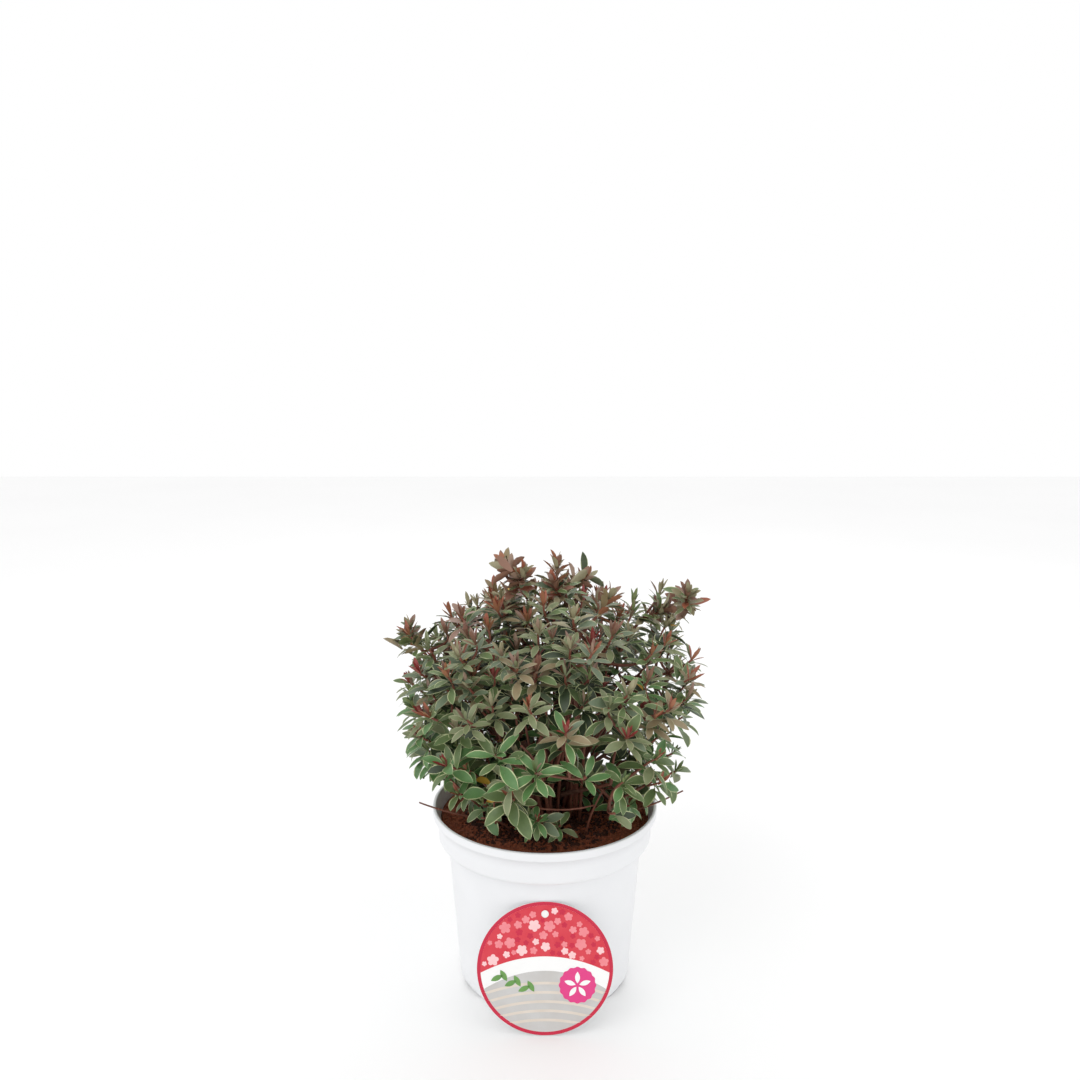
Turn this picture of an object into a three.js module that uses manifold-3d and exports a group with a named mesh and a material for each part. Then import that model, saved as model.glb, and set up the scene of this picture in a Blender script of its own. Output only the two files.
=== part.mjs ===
// A variegated evergreen azalea in its round nursery pot, in millimetres, with +Z up and the front at -Y.
// The origin is the middle of the pot's flat underside. The shrub is a short trunk, the boughs that leave
// it, and one mass of twigs and leaves on each bough, which keeps to its own space in the crown.
import * as THREE from "three";
import { mergeVertices } from "three/addons/utils/BufferGeometryUtils.js";
import Module from "manifold-3d";

const GAP = 0.3; // between neighbouring pieces
const WELD = 1e-3; // vertices nearer than this are one
const GRIDS = [0.001, 0.002, 0.004, 0.008, 0.016]; // that vertices may be moved to
const SEED = 7;
const UP = new THREE.Vector3(0, 0, 1);

// The pot
const POT_HEIGHT = 187;
const POT_SIDES = 32;
const FOOT_RADIUS = 89;
const FOOT_CORNER = 5;
const WALL_TOP_RADIUS = 100; // just under the band
const WALL_THICKNESS = 2.4;
const FLOOR_THICKNESS = 7;
const BAND_BOTTOM = 150;
const BAND_RADIUS = 109.5;
const BAND_FILLET = 6;
const LIP_RADIUS = 115.3;
const LIP_WIDTH = 3.4;
const LIP_HEIGHT = 8;
const NOTCH_COUNT = 6; // the drainage arches in the foot
const NOTCH_RISE = 4.5;
const NOTCH_WIDTH = 40;
const NOTCH_DEPTH = 16;

// The potting mix
const SOIL_TOP = 173; // at the wall
const SOIL_MOUND = 4; // how far it rises towards the trunk
const SOIL_UNEVEN = 1.4;
const SOIL_RINGS = 3;

// The round tag that leans on the pot's front, and the pin through it
const TAG_DIAMETER = 130;
const TAG_THICKNESS = 0.8;
const TAG_LEAN = 8.4; // degrees back from upright
const TAG_LOWEST = 1.5; // its lowest point stays just off the ground
const TAG_FRONT = 118; // from the pot's middle to that point
const TAG_HALF_SIDES = 16;
const PIN_DROP = 11.5; // from the tag's top edge down to the pin
const PIN_HOLE_RADIUS = 2.4;
const PIN_SHANK_RADIUS = 1.6;
const PIN_SHANK_LENGTH = 4.6; // it ends inside the wall
const PIN_HEAD_RADIUS = 3.6;
const PIN_HEAD_THICKNESS = 1.6;

// The trunk, which is hidden in the middle of the shrub
const TRUNK_HEIGHT = 32;
const TRUNK_FOOT_RADIUS = 18;
const TRUNK_RADIUS = 11;
const TRUNK_TOP_RADIUS = 8.5;
const TRUNK_LEAN = 3; // how far its top stands to the left of its foot
const TRUNK_SIDES = 12;
const FLARE_HEIGHT = 11;

// The boughs
const BOUGH_SIDES = 5;
const BOUGH_STEPS = 4;
const BOUGH_ROOT_RADIUS = 3.4;
const BOUGH_TIP_RADIUS = 2.1;
const BOUGH_SHARE = 0.56; // how far along the way to its mass's middle a bough ends
const TIER_HEIGHT = [4, 12, 21, 30]; // where the boughs leave the trunk, above its foot
const TIER_CLIMB = [8, 26, 54, 88]; // and how steeply, in degrees
const TIER_START = [4, 4, 4, 1]; // from the trunk's axis to the middle of the bough's first ring
const BOUGH_BEND = 0.5; // share of its length over which it keeps that climb

// The crown: a dome with a broad, nearly flat top, narrower at the pot
const CROWN_MIDDLE = new THREE.Vector3(8, 0, 310);
const CROWN_RADIUS = 160;
const CROWN_RISE = 112; // from its middle to its top
const CROWN_DROP = 138; // from its middle to its lowest leaves
const CROWN_SQUARENESS = 2.7;

// The masses of foliage: the bearing of each one's middle, in degrees from +X towards +Y, its distance from
// the pot's middle and its height, the tier that its bough leaves from, its number of shoots, and how far
// from its middle they may end.
const MASSES = [
  { name: "top", bearing: 100, out: 12, height: 374, tier: 3, shoots: 15, spread: 90 },
  { name: "right", bearing: 4, out: 100, height: 335, tier: 2, shoots: 13, spread: 90 },
  { name: "back_right", bearing: 58, out: 92, height: 345, tier: 2, shoots: 12, spread: 90 },
  { name: "back_left", bearing: 122, out: 92, height: 340, tier: 2, shoots: 12, spread: 90 },
  { name: "left", bearing: 182, out: 100, height: 328, tier: 2, shoots: 13, spread: 90 },
  { name: "front_left", bearing: 240, out: 86, height: 338, tier: 2, shoots: 13, spread: 90 },
  { name: "front_right", bearing: 302, out: 88, height: 342, tier: 2, shoots: 13, spread: 90 },
  { name: "front", bearing: 265, out: 106, height: 298, tier: 1, shoots: 7, spread: 54 },
  { name: "low_right", bearing: 322, out: 100, height: 236, tier: 1, shoots: 7, spread: 62 },
  { name: "low_back_right", bearing: 22, out: 98, height: 242, tier: 1, shoots: 6, spread: 62 },
  { name: "low_back", bearing: 82, out: 96, height: 238, tier: 1, shoots: 6, spread: 62 },
  { name: "low_back_left", bearing: 138, out: 98, height: 242, tier: 1, shoots: 6, spread: 62 },
  { name: "low_left", bearing: 190, out: 100, height: 240, tier: 1, shoots: 7, spread: 62 },
  { name: "low_front_left", bearing: 231, out: 96, height: 230, tier: 1, shoots: 7, spread: 58 },
  { name: "low_front", bearing: 274, out: 80, height: 193, tier: 0, shoots: 3, spread: 26 },
];

// Shoots that stand out of the dome, by mass, with the place of each one's tip
const LEADERS = [
  { mass: "top", tip: [8, -6, 430] },
  { mass: "top", tip: [-32, 8, 424] },
  { mass: "front_left", tip: [-52, -38, 420] },
  { mass: "front_right", tip: [66, -36, 424] },
  { mass: "back_left", tip: [-58, 62, 416] },
  { mass: "back_right", tip: [44, 74, 422] },
  { mass: "right", tip: [132, -12, 408] },
  { mass: "left", tip: [-134, -14, 368] },
];
const LEADER_REACH = 30; // its leaves may leave the dome this near to its tip

// Twigs and leaves
const TWIG_SIDES = 3;
const TWIG_STEPS = 2;
const TWIG_ROOT_RADIUS = 1.8;
const TWIG_TIP_RADIUS = 1.4;
const TWIG_SUNK_RADIUS = 0.8; // its first ring, on the axis of the twig that it leaves
const STEM_RADIUS = 2.3;
const HEART_SHARE = 0.6; // how far from the bough's end to its mass's middle the stem reaches
const STEM_BEND = 0.4; // share of the stem's length over which it keeps the bough's direction
const SHOOT_INSET = 15; // from a shoot's tip to the edge of its mass's space
const SHOOT_TRIES = 60; // random places among which each next shoot takes the emptiest
const JOINT_TRIES = 4; // joints that a twig may leave from, the nearest first
const TWIG_BEND = 0.45; // share of a twig's reach over which it turns into its tip's direction
const LEAST_CLIMB = 15; // from a joint up to a tip, and what each millimetre less than that costs
const CLIMB_COST = 1.5;
const INNER_WORTH = 0.55; // of a place at the crown's middle, against 1 on the dome
const BORDER_SHARE = 0.6; // of an inset that counts at the border between two masses
const AXIS_LIFT = 0.75; // how steeply a shoot stands at the crown's middle height
const LEAST_LIFT = 0.35;
const FIRST_LEAF_BACK = 1.5; // from the shoot's tip to its highest leaf
const LEAF_JITTER = 12; // degrees
const LEAF_FULLNESS = [0.85, 0.3, 0.15]; // a leaf's least size, its random share, and what the highest lacks
const WHORL_LEAVES = 6;
const LEAF_LENGTH = 52;
const LEAF_WIDTH = 28;
const LEAF_THICKNESS = 0.8;
const LEAF_ROOT_OUT = 0.25; // from the shoot's axis to the root, which is well under the bark
const LEAF_SPREAD = [74, 42]; // degrees from the shoot, from its lowest leaf to its highest
const LEAF_SPACING = 3.5; // along the shoot
const LEAF_APART = 6; // between the ribs of leaves on neighbouring shoots
const LEAF_SIZES = [1, 0.8, 0.62]; // a leaf with no room is made smaller, and then left out
const GOLDEN_ANGLE = Math.PI * (3 - Math.sqrt(5));
const CLEARANCE = 1.2; // from twigs and leaves to the limbs and the pot
const CELL_MARGIN = 0.3; // from twigs and leaves to the border of their mass's space

const COLOURS = {
  pot: { color: 0xeceef0, roughness: 0.5, metalness: 0 },
  soil: { color: 0x5a2e1c, roughness: 0.95, metalness: 0 },
  tag: { color: 0xd92c50, roughness: 0.4, metalness: 0 },
  pin: { color: 0xf4f4f2, roughness: 0.4, metalness: 0 },
  bark: { color: 0x6b4433, roughness: 0.85, metalness: 0 },
  leaf: { color: 0x5f7257, roughness: 0.55, metalness: 0 },
};

const wasm = await Module();
wasm.setup();

const radians = THREE.MathUtils.degToRad;
const vector = (x, y, z) => new THREE.Vector3(x, y, z);

// ---- solids

function solidOf(geometry) {
  const bare = geometry.clone();
  bare.deleteAttribute("normal");
  bare.deleteAttribute("uv");
  const merged = mergeVertices(bare, WELD);
  return new wasm.Manifold(
    new wasm.Mesh({
      numProp: 3,
      vertProperties: new Float32Array(merged.attributes.position.array),
      triVerts: new Uint32Array(merged.index.array),
    }),
  );
}

function geometryOf(solid) {
  const mesh = solid.getMesh();
  const geometry = new THREE.BufferGeometry();
  geometry.setAttribute("position", new THREE.BufferAttribute(mesh.vertProperties, 3));
  geometry.setIndex(new THREE.BufferAttribute(mesh.triVerts, 1));
  geometry.computeVertexNormals();
  return geometry;
}

// Joins solids in pairs, so that no union grows one at a time.
function fuse(solids) {
  let left = solids;
  while (left.length > 1) {
    const joined = [];
    for (let i = 0; i < left.length; i += 2) {
      joined.push(i + 1 < left.length ? left[i].add(left[i + 1]) : left[i]);
    }
    left = joined;
  }
  return left[0];
}

// True if every edge is shared by exactly two faces, also once vertices at one place are taken as one.
function isClosed(geometry) {
  const position = geometry.attributes.position;
  const index = geometry.index.array;
  const key = (i) => [position.getX(i), position.getY(i), position.getZ(i)].map((n) => n.toFixed(3)).join();
  const edges = new Set();
  for (let i = 0; i < index.length; i += 3) {
    const corners = [key(index[i]), key(index[i + 1]), key(index[i + 2])];
    for (let k = 0; k < 3; k += 1) {
      const edge = corners[k] + " " + corners[(k + 1) % 3];
      if (edges.has(edge)) return false;
      edges.add(edge);
    }
  }
  return true;
}

// The largest body of a solid, with its vertices moved to the first grid on which no two edges fall together.
function largestBody(solid) {
  for (const grid of GRIDS) {
    const geometry = geometryOf(solid);
    const numbers = geometry.attributes.position.array;
    numbers.forEach((number, i) => {
      numbers[i] = Math.round(number / grid) * grid;
    });
    const body = solidOf(geometry)
      .decompose()
      .reduce((best, next) => (next.volume() > best.volume() ? next : best));
    if (isClosed(geometryOf(body))) return body;
  }
  return null;
}

// Two directions in the plane of each ring of a limb. The rings are square to the path, except that a level
// foot is cut level.
function ringFrames(path, levelFoot = false) {
  const last = path.length - 1;
  let side = vector(1, 0, 0);
  return path.map((_, i) => {
    const along = path[Math.min(i + 1, last)].clone().sub(path[Math.max(i - 1, 0)]).normalize();
    if (levelFoot && i === 0) along.copy(UP);
    if (Math.abs(along.dot(side)) > 0.9) side = vector(0, 1, 0);
    side = side.clone().addScaledVector(along, -along.dot(side)).normalize();
    return { side, across: along.clone().cross(side) };
  });
}

// A limb along a path of points, with a flat cut at each end.
function limbGeometry(path, radii, sides, levelFoot = false) {
  const last = path.length - 1;
  const positions = [];
  const faces = [];
  const frames = ringFrames(path, levelFoot);
  path.forEach((point, i) => {
    const { side, across } = frames[i];
    for (let k = 0; k < sides; k += 1) {
      const turn = (2 * Math.PI * k) / sides;
      const rim = point.clone();
      rim.addScaledVector(side, radii[i] * Math.cos(turn));
      rim.addScaledVector(across, radii[i] * Math.sin(turn));
      positions.push(rim.x, rim.y, rim.z);
    }
  });
  for (let i = 0; i < last; i += 1) {
    for (let k = 0; k < sides; k += 1) {
      const a = i * sides + k;
      const b = i * sides + ((k + 1) % sides);
      faces.push(a, b, b + sides, a, b + sides, a + sides);
    }
  }
  for (let k = 1; k < sides - 1; k += 1) {
    faces.push(0, k + 1, k);
    faces.push(last * sides, last * sides + k, last * sides + k + 1);
  }
  const geometry = new THREE.BufferGeometry();
  geometry.setAttribute("position", new THREE.Float32BufferAttribute(positions, 3));
  geometry.setIndex(faces);
  return geometry;
}

// A leaf is an octahedron drawn out from its root: its keel and crest lie nearer the root than its widest
// place, so that its stalk end is stout.
const LEAF_KEEL = 0.25;
const LEAF_WIDEST = 0.55;

function leafCorners(root, along, across, length, width) {
  const normal = along.clone().cross(across);
  const keel = root.clone().addScaledVector(along, LEAF_KEEL * length);
  const middle = root.clone().addScaledVector(along, LEAF_WIDEST * length);
  return [
    root.clone(),
    root.clone().addScaledVector(along, length),
    middle.clone().addScaledVector(across, width / 2),
    middle.clone().addScaledVector(across, -width / 2),
    keel.clone().addScaledVector(normal, LEAF_THICKNESS / 2),
    keel.clone().addScaledVector(normal, -LEAF_THICKNESS / 2),
  ];
}

function leafGeometry(corners) {
  const geometry = new THREE.BufferGeometry();
  const positions = corners.flatMap((corner) => [corner.x, corner.y, corner.z]);
  geometry.setAttribute("position", new THREE.Float32BufferAttribute(positions, 3));
  const ROOT = 0, TIP = 1, LEFT = 2, RIGHT = 3, TOP = 4, KEEL = 5;
  geometry.setIndex([
    [ROOT, RIGHT, TOP], [RIGHT, TIP, TOP], [TIP, LEFT, TOP], [LEFT, ROOT, TOP],
    [ROOT, KEEL, RIGHT], [RIGHT, KEEL, TIP], [TIP, KEEL, LEFT], [LEFT, KEEL, ROOT],
  ].flat());
  return geometry;
}

// ---- the pot, its mix and its tag

function wallRadius(height) {
  const share = (height - FOOT_CORNER) / (BAND_BOTTOM - FOOT_CORNER);
  return FOOT_RADIUS + (WALL_TOP_RADIUS - FOOT_RADIUS) * share;
}

function lathe(profile) {
  const points = profile.map(([radius, height]) => new THREE.Vector2(radius, height));
  return new THREE.LatheGeometry(points, POT_SIDES).rotateX(Math.PI / 2);
}

function arc(centre, radius, from, to, steps) {
  return Array.from({ length: steps + 1 }, (_, i) => {
    const turn = radians(from + ((to - from) * i) / steps);
    return [centre[0] + radius * Math.cos(turn), centre[1] + radius * Math.sin(turn)];
  });
}

function potSolid() {
  const lipBottom = POT_HEIGHT - LIP_HEIGHT;
  const lipInner = LIP_RADIUS - LIP_WIDTH;
  const inside = (radius) => radius - WALL_THICKNESS;
  const vessel = lathe([
    [0, 0],
    ...arc([FOOT_RADIUS - FOOT_CORNER, FOOT_CORNER], FOOT_CORNER, -90, 0, 2),
    [WALL_TOP_RADIUS, BAND_BOTTOM],
    ...arc([BAND_RADIUS - BAND_FILLET, BAND_BOTTOM + BAND_FILLET], BAND_FILLET, -80, 0, 2),
    [BAND_RADIUS + 1, lipBottom - 2],
    [LIP_RADIUS, lipBottom],
    [LIP_RADIUS, POT_HEIGHT - 1],
    [LIP_RADIUS - 1, POT_HEIGHT],
    [lipInner, POT_HEIGHT],
    [inside(BAND_RADIUS), lipBottom - 4],
    [inside(BAND_RADIUS), BAND_BOTTOM + BAND_FILLET],
    [inside(WALL_TOP_RADIUS), BAND_BOTTOM],
    [inside(FOOT_RADIUS), FLOOR_THICKNESS],
    [0, FLOOR_THICKNESS],
  ]);
  const arch = new THREE.Shape();
  arch.moveTo(-NOTCH_WIDTH / 2, -1);
  arch.lineTo(-NOTCH_WIDTH / 2, 0);
  arch.quadraticCurveTo(0, 2 * NOTCH_RISE, NOTCH_WIDTH / 2, 0);
  arch.lineTo(NOTCH_WIDTH / 2, -1);
  const cutter = new THREE.ExtrudeGeometry(arch, {
    depth: 2 * NOTCH_DEPTH,
    bevelEnabled: false,
    curveSegments: 8,
  });
  cutter.rotateX(Math.PI / 2).translate(0, -FOOT_RADIUS + NOTCH_DEPTH, 0);
  let pot = solidOf(vessel);
  for (let i = 0; i < NOTCH_COUNT; i += 1) {
    const turned = cutter.clone().rotateZ((2 * Math.PI * i) / NOTCH_COUNT);
    pot = pot.subtract(solidOf(turned));
  }
  return pot;
}

function soilGeometry() {
  const wallInside = (height) => wallRadius(height) - WALL_THICKNESS - GAP;
  const rim = BAND_RADIUS - WALL_THICKNESS - GAP;
  const flat = TRUNK_FOOT_RADIUS + 4;
  const surface = Array.from({ length: SOIL_RINGS }, (_, i) => {
    const share = (i + 1) / SOIL_RINGS;
    return [rim + (flat - rim) * share, SOIL_TOP + SOIL_MOUND * share];
  });
  const geometry = lathe([
    [0, FLOOR_THICKNESS + GAP],
    [wallInside(FLOOR_THICKNESS) - 0.5, FLOOR_THICKNESS + GAP],
    [wallInside(BAND_BOTTOM), BAND_BOTTOM + GAP],
    [rim, BAND_BOTTOM + BAND_FILLET + GAP],
    [rim, SOIL_TOP],
    ...surface,
    [0, SOIL_TOP + SOIL_MOUND],
  ]);
  const position = geometry.attributes.position;
  for (let i = 0; i < position.count; i += 1) {
    const radius = Math.hypot(position.getX(i), position.getY(i));
    const turn = Math.atan2(position.getY(i), position.getX(i));
    const free = position.getZ(i) > SOIL_TOP && radius > flat + 1 && radius < rim - 1;
    if (free) {
      const wave = Math.sin(3 * turn + radius / 9) + Math.sin(5 * turn - radius / 6);
      position.setZ(i, position.getZ(i) + (SOIL_UNEVEN * wave) / 2);
    }
  }
  return geometry;
}

function tagParts() {
  const radius = TAG_DIAMETER / 2;
  const outline = new THREE.Shape();
  outline.absarc(0, 0, radius, 0, 2 * Math.PI);
  const hole = new THREE.Path();
  hole.absarc(0, radius - PIN_DROP, PIN_HOLE_RADIUS, 0, 2 * Math.PI);
  outline.holes.push(hole);
  const disc = new THREE.ExtrudeGeometry(outline, {
    depth: TAG_THICKNESS,
    bevelEnabled: false,
    curveSegments: TAG_HALF_SIDES,
  });
  const pin = new THREE.LatheGeometry(
    [
      [0, -PIN_SHANK_LENGTH],
      [PIN_SHANK_RADIUS, -PIN_SHANK_LENGTH],
      [PIN_SHANK_RADIUS, TAG_THICKNESS + GAP],
      [PIN_HEAD_RADIUS, TAG_THICKNESS + GAP],
      [PIN_HEAD_RADIUS * 0.8, TAG_THICKNESS + GAP + PIN_HEAD_THICKNESS],
      [0, TAG_THICKNESS + GAP + PIN_HEAD_THICKNESS],
    ].map(([r, h]) => new THREE.Vector2(r, h)),
    16,
  );
  pin.rotateX(Math.PI / 2).translate(0, radius - PIN_DROP, 0);
  return { disc, pin };
}

// ---- the trunk and the boughs

const TRUNK_FOOT = SOIL_TOP + SOIL_MOUND + GAP;

function trunkPoint(height) {
  return vector((-TRUNK_LEAN * height) / TRUNK_HEIGHT, 0, TRUNK_FOOT + height);
}

function trunkRadius(height) {
  const taper = TRUNK_RADIUS + ((TRUNK_TOP_RADIUS - TRUNK_RADIUS) * height) / TRUNK_HEIGHT;
  const flare = Math.max(0, 1 - height / FLARE_HEIGHT);
  return taper + (TRUNK_FOOT_RADIUS - TRUNK_RADIUS) * flare * flare;
}

function trunkGeometry(growth = 0) {
  const heights = [0, 3, 7, FLARE_HEIGHT, 18, 25, TRUNK_HEIGHT + growth];
  const radii = heights.map((height) => trunkRadius(height) + growth);
  return limbGeometry(heights.map(trunkPoint), radii, TRUNK_SIDES, true);
}

function bearingVector(bearing, climb) {
  const flat = Math.cos(radians(climb));
  const turn = radians(bearing);
  return vector(flat * Math.cos(turn), flat * Math.sin(turn), Math.sin(radians(climb)));
}

function massMiddle(mass) {
  const flat = bearingVector(mass.bearing, 0).multiplyScalar(mass.out);
  return vector(flat.x, flat.y, mass.height);
}

// A bough leaves the trunk along its tier's climb and bends up to its mass.
function boughPath(mass) {
  const from = trunkPoint(TIER_HEIGHT[mass.tier]);
  const leave = bearingVector(mass.bearing, TIER_CLIMB[mass.tier]);
  const start = from.clone().addScaledVector(leave, TIER_START[mass.tier]);
  const end = from.clone().lerp(massMiddle(mass), BOUGH_SHARE);
  const bend = start.clone().addScaledVector(leave, start.distanceTo(end) * BOUGH_BEND);
  const curve = new THREE.QuadraticBezierCurve3(start, bend, end);
  return curve.getPoints(BOUGH_STEPS);
}

function boughRadii(steps) {
  return Array.from({ length: steps + 1 }, (_, i) =>
    THREE.MathUtils.lerp(BOUGH_ROOT_RADIUS, BOUGH_TIP_RADIUS, i / steps),
  );
}

// ---- the crown and its masses

// A small seeded generator of numbers from 0 to 1.
function seeded(seed) {
  let state = seed >>> 0;
  return () => {
    state = (state + 0x6d2b79f5) >>> 0;
    let mixed = state;
    mixed = Math.imul(mixed ^ (mixed >>> 15), mixed | 1);
    mixed ^= mixed + Math.imul(mixed ^ (mixed >>> 7), mixed | 61);
    return ((mixed ^ (mixed >>> 14)) >>> 0) / 4294967296;
  };
}

// 1 on the dome's surface, less inside it.
function domeLevel(point, inset = 0) {
  const flat = Math.hypot(point.x - CROWN_MIDDLE.x, point.y - CROWN_MIDDLE.y);
  const rise = point.z - CROWN_MIDDLE.z;
  const depth = (rise > 0 ? CROWN_RISE : CROWN_DROP) - inset;
  const share = Math.pow(flat / (CROWN_RADIUS - inset), CROWN_SQUARENESS);
  return share + Math.pow(Math.abs(rise) / depth, CROWN_SQUARENESS);
}

// The lowest height that foliage may have: over the mix, and over the lip of the pot.
const FLOOR_SLOPE_FROM = 88;
function floorHeight(point) {
  const flat = Math.hypot(point.x, point.y);
  const low = SOIL_TOP + SOIL_MOUND + CLEARANCE;
  const high = POT_HEIGHT + CLEARANCE;
  const lipInner = LIP_RADIUS - LIP_WIDTH - 2;
  return low + (Math.max(0, flat - FLOOR_SLOPE_FROM) * (high - low)) / (lipInner - FLOOR_SLOPE_FROM);
}

// A mass's space is what lies nearer to its middle than to any other's, inside the dome.
function inSpace(mass, point, inset) {
  if (point.z < floorHeight(point)) return false;
  const nearLeader = LEADERS.some(
    (leader) => leader.mass === mass.name && point.distanceTo(vector(...leader.tip)) < LEADER_REACH,
  );
  if (!nearLeader && domeLevel(point, inset) > 1) return false;
  const middle = massMiddle(mass);
  return MASSES.every((other) => {
    if (other === mass) return true;
    const away = massMiddle(other).sub(middle);
    const half = away.length() / 2;
    return point.clone().sub(middle).dot(away.normalize()) < half - CELL_MARGIN - inset * BORDER_SHARE;
  });
}

function segmentDistance(a, b, c, d) {
  const first = b.clone().sub(a);
  const second = d.clone().sub(c);
  const between = a.clone().sub(c);
  const A = first.dot(first);
  const E = second.dot(second);
  const F = second.dot(between);
  const B = first.dot(second);
  const C = first.dot(between);
  const spread = A * E - B * B;
  const clamp = THREE.MathUtils.clamp;
  let s = spread > 1e-9 ? clamp((B * F - C * E) / spread, 0, 1) : 0;
  let t = (B * s + F) / E;
  if (t < 0 || t > 1) {
    t = clamp(t, 0, 1);
    s = clamp((B * t - C) / A, 0, 1);
  }
  const onFirst = a.clone().addScaledVector(first, s);
  const onSecond = c.clone().addScaledVector(second, t);
  return onFirst.distanceTo(onSecond);
}

const LIMBS = [
  { path: [0, TRUNK_HEIGHT / 2, TRUNK_HEIGHT].map(trunkPoint), radius: TRUNK_RADIUS },
  ...MASSES.map((mass) => ({ path: boughPath(mass), radius: BOUGH_ROOT_RADIUS })),
];

function clearOfLimbs(from, to, thickness) {
  return LIMBS.every(({ path, radius }) =>
    path.slice(1).every((end, i) => {
      const gap = segmentDistance(from, to, path[i], end);
      return gap > radius + thickness + CLEARANCE;
    }),
  );
}

// Where the shoots of a mass end: its leaders, then each next one at the emptiest of some random places.
function shootTips(mass, random) {
  const middle = massMiddle(mass);
  const tips = LEADERS.filter((leader) => leader.mass === mass.name).map((leader) => vector(...leader.tip));
  for (let shoot = tips.length; shoot < mass.shoots; shoot += 1) {
    let best = null;
    let emptiest = -1;
    for (let i = 0; i < SHOOT_TRIES; i += 1) {
      const place = vector(random() - 0.5, random() - 0.5, random() - 0.5);
      place.multiplyScalar(2 * mass.spread).add(middle);
      if (!inSpace(mass, place, SHOOT_INSET)) continue;
      const nearest = Math.min(mass.spread, ...tips.map((tip) => tip.distanceTo(place)));
      const worth = nearest * (INNER_WORTH + (1 - INNER_WORTH) * domeLevel(place));
      if (worth > emptiest) {
        emptiest = worth;
        best = place;
      }
    }
    if (best) tips.push(best);
  }
  return tips;
}

// A shoot's own direction: up and out of the crown.
function shootAxis(tip) {
  const out = vector(tip.x - CROWN_MIDDLE.x, tip.y - CROWN_MIDDLE.y, 0).divideScalar(CROWN_RADIUS);
  const lift = AXIS_LIFT + (tip.z - CROWN_MIDDLE.z) / (2 * CROWN_RISE);
  return out.addScaledVector(UP, Math.max(LEAST_LIFT, lift)).normalize();
}

// A twig leaves its joint freely and comes in to its tip along the shoot's own direction.
function twigPath(from, tip) {
  const bend = tip.clone().addScaledVector(shootAxis(tip), -TWIG_BEND * from.distanceTo(tip));
  return new THREE.QuadraticBezierCurve3(from, bend, tip).getPoints(TWIG_STEPS);
}

// The twigs of a mass: a stem from the bough's tip to the mass's heart, then one twig to each shoot's tip,
// from the nearest joint that it can leave without touching a limb.
function growTwigs(mass, random) {
  const bough = boughPath(mass);
  const end = bough.at(-1);
  const heading = end.clone().sub(bough.at(-2)).normalize();
  const start = end.clone().addScaledVector(heading, GAP);
  const heart = start.clone().lerp(massMiddle(mass), HEART_SHARE);
  const stem = new THREE.QuadraticBezierCurve3(
    start,
    start.clone().addScaledVector(heading, start.distanceTo(heart) * STEM_BEND),
    heart,
  ).getPoints(2);
  const joints = [stem[1], stem[2]];
  const twigs = [{ path: stem, radii: [STEM_RADIUS, STEM_RADIUS, TWIG_ROOT_RADIUS] }];
  const tips = shootTips(mass, random).sort((a, b) => a.distanceTo(heart) - b.distanceTo(heart));
  tips.forEach((tip) => {
    const cost = (joint) => joint.distanceTo(tip) + CLIMB_COST * Math.max(0, joint.z - tip.z + LEAST_CLIMB);
    const nearest = [...joints].sort((a, b) => cost(a) - cost(b));
    const path = nearest.slice(0, JOINT_TRIES).map((from) => twigPath(from, tip)).find(
      (points) =>
        points.slice(1).every(
          (point, i) =>
            inSpace(mass, point, TWIG_ROOT_RADIUS) && clearOfLimbs(points[i], point, TWIG_ROOT_RADIUS),
        ),
    );
    if (!path) return;
    joints.push(...path.slice(1, -1));
    const radii = [TWIG_SUNK_RADIUS, TWIG_ROOT_RADIUS, TWIG_TIP_RADIUS];
    twigs.push({ path, radii, axis: tip.clone().sub(path.at(-2)).normalize() });
  });
  return twigs;
}

// The leaves of one shoot, wound round it by the golden angle, wide open at the bottom of the whorl and
// more upright towards its tip. The whorl's middle leaf leaves the middle of one of the twig's three faces,
// so that every leaf comes out of a single face.
function shootLeaves(mass, twig, random, grown) {
  const tip = twig.path.at(-1);
  const { side } = ringFrames(twig.path).at(-1);
  const face = (2 * Math.PI) / TWIG_SIDES;
  const middle = face * (0.5 + Math.floor(TWIG_SIDES * random()));
  const leaves = [];
  const neighbours = [...grown];
  for (let i = 0; i < WHORL_LEAVES; i += 1) {
    const share = i / (WHORL_LEAVES - 1);
    const jitter = LEAF_JITTER * (random() - 0.5);
    const spread = radians(THREE.MathUtils.lerp(LEAF_SPREAD[0], LEAF_SPREAD[1], share) + jitter);
    const turn = middle + (i - (WHORL_LEAVES - 1) / 2) * GOLDEN_ANGLE;
    const out = side.clone().applyAxisAngle(twig.axis, turn);
    const along = out.clone().multiplyScalar(Math.sin(spread)).addScaledVector(twig.axis, Math.cos(spread));
    const across = twig.axis.clone().cross(out).normalize();
    const back = FIRST_LEAF_BACK + (WHORL_LEAVES - 1 - i) * LEAF_SPACING;
    const root = tip.clone().addScaledVector(twig.axis, -back).addScaledVector(out, LEAF_ROOT_OUT);
    const [least, chance, last] = LEAF_FULLNESS;
    const full = least + chance * random() - last * share;
    for (const scale of LEAF_SIZES.map((size) => size * full)) {
      const corners = leafCorners(root, along, across, LEAF_LENGTH * scale, LEAF_WIDTH * scale);
      const inside = corners.slice(1).every((corner) => inSpace(mass, corner, 0));
      const [base, point] = corners;
      const free = neighbours.every((leaf) => {
        return segmentDistance(base, point, leaf.base, leaf.point) > LEAF_APART;
      });
      if (inside && free && clearOfLimbs(base, point, LEAF_WIDTH / 3)) {
        leaves.push({ base, point, solid: solidOf(leafGeometry(corners)) });
        break;
      }
    }
  }
  return leaves;
}

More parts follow.
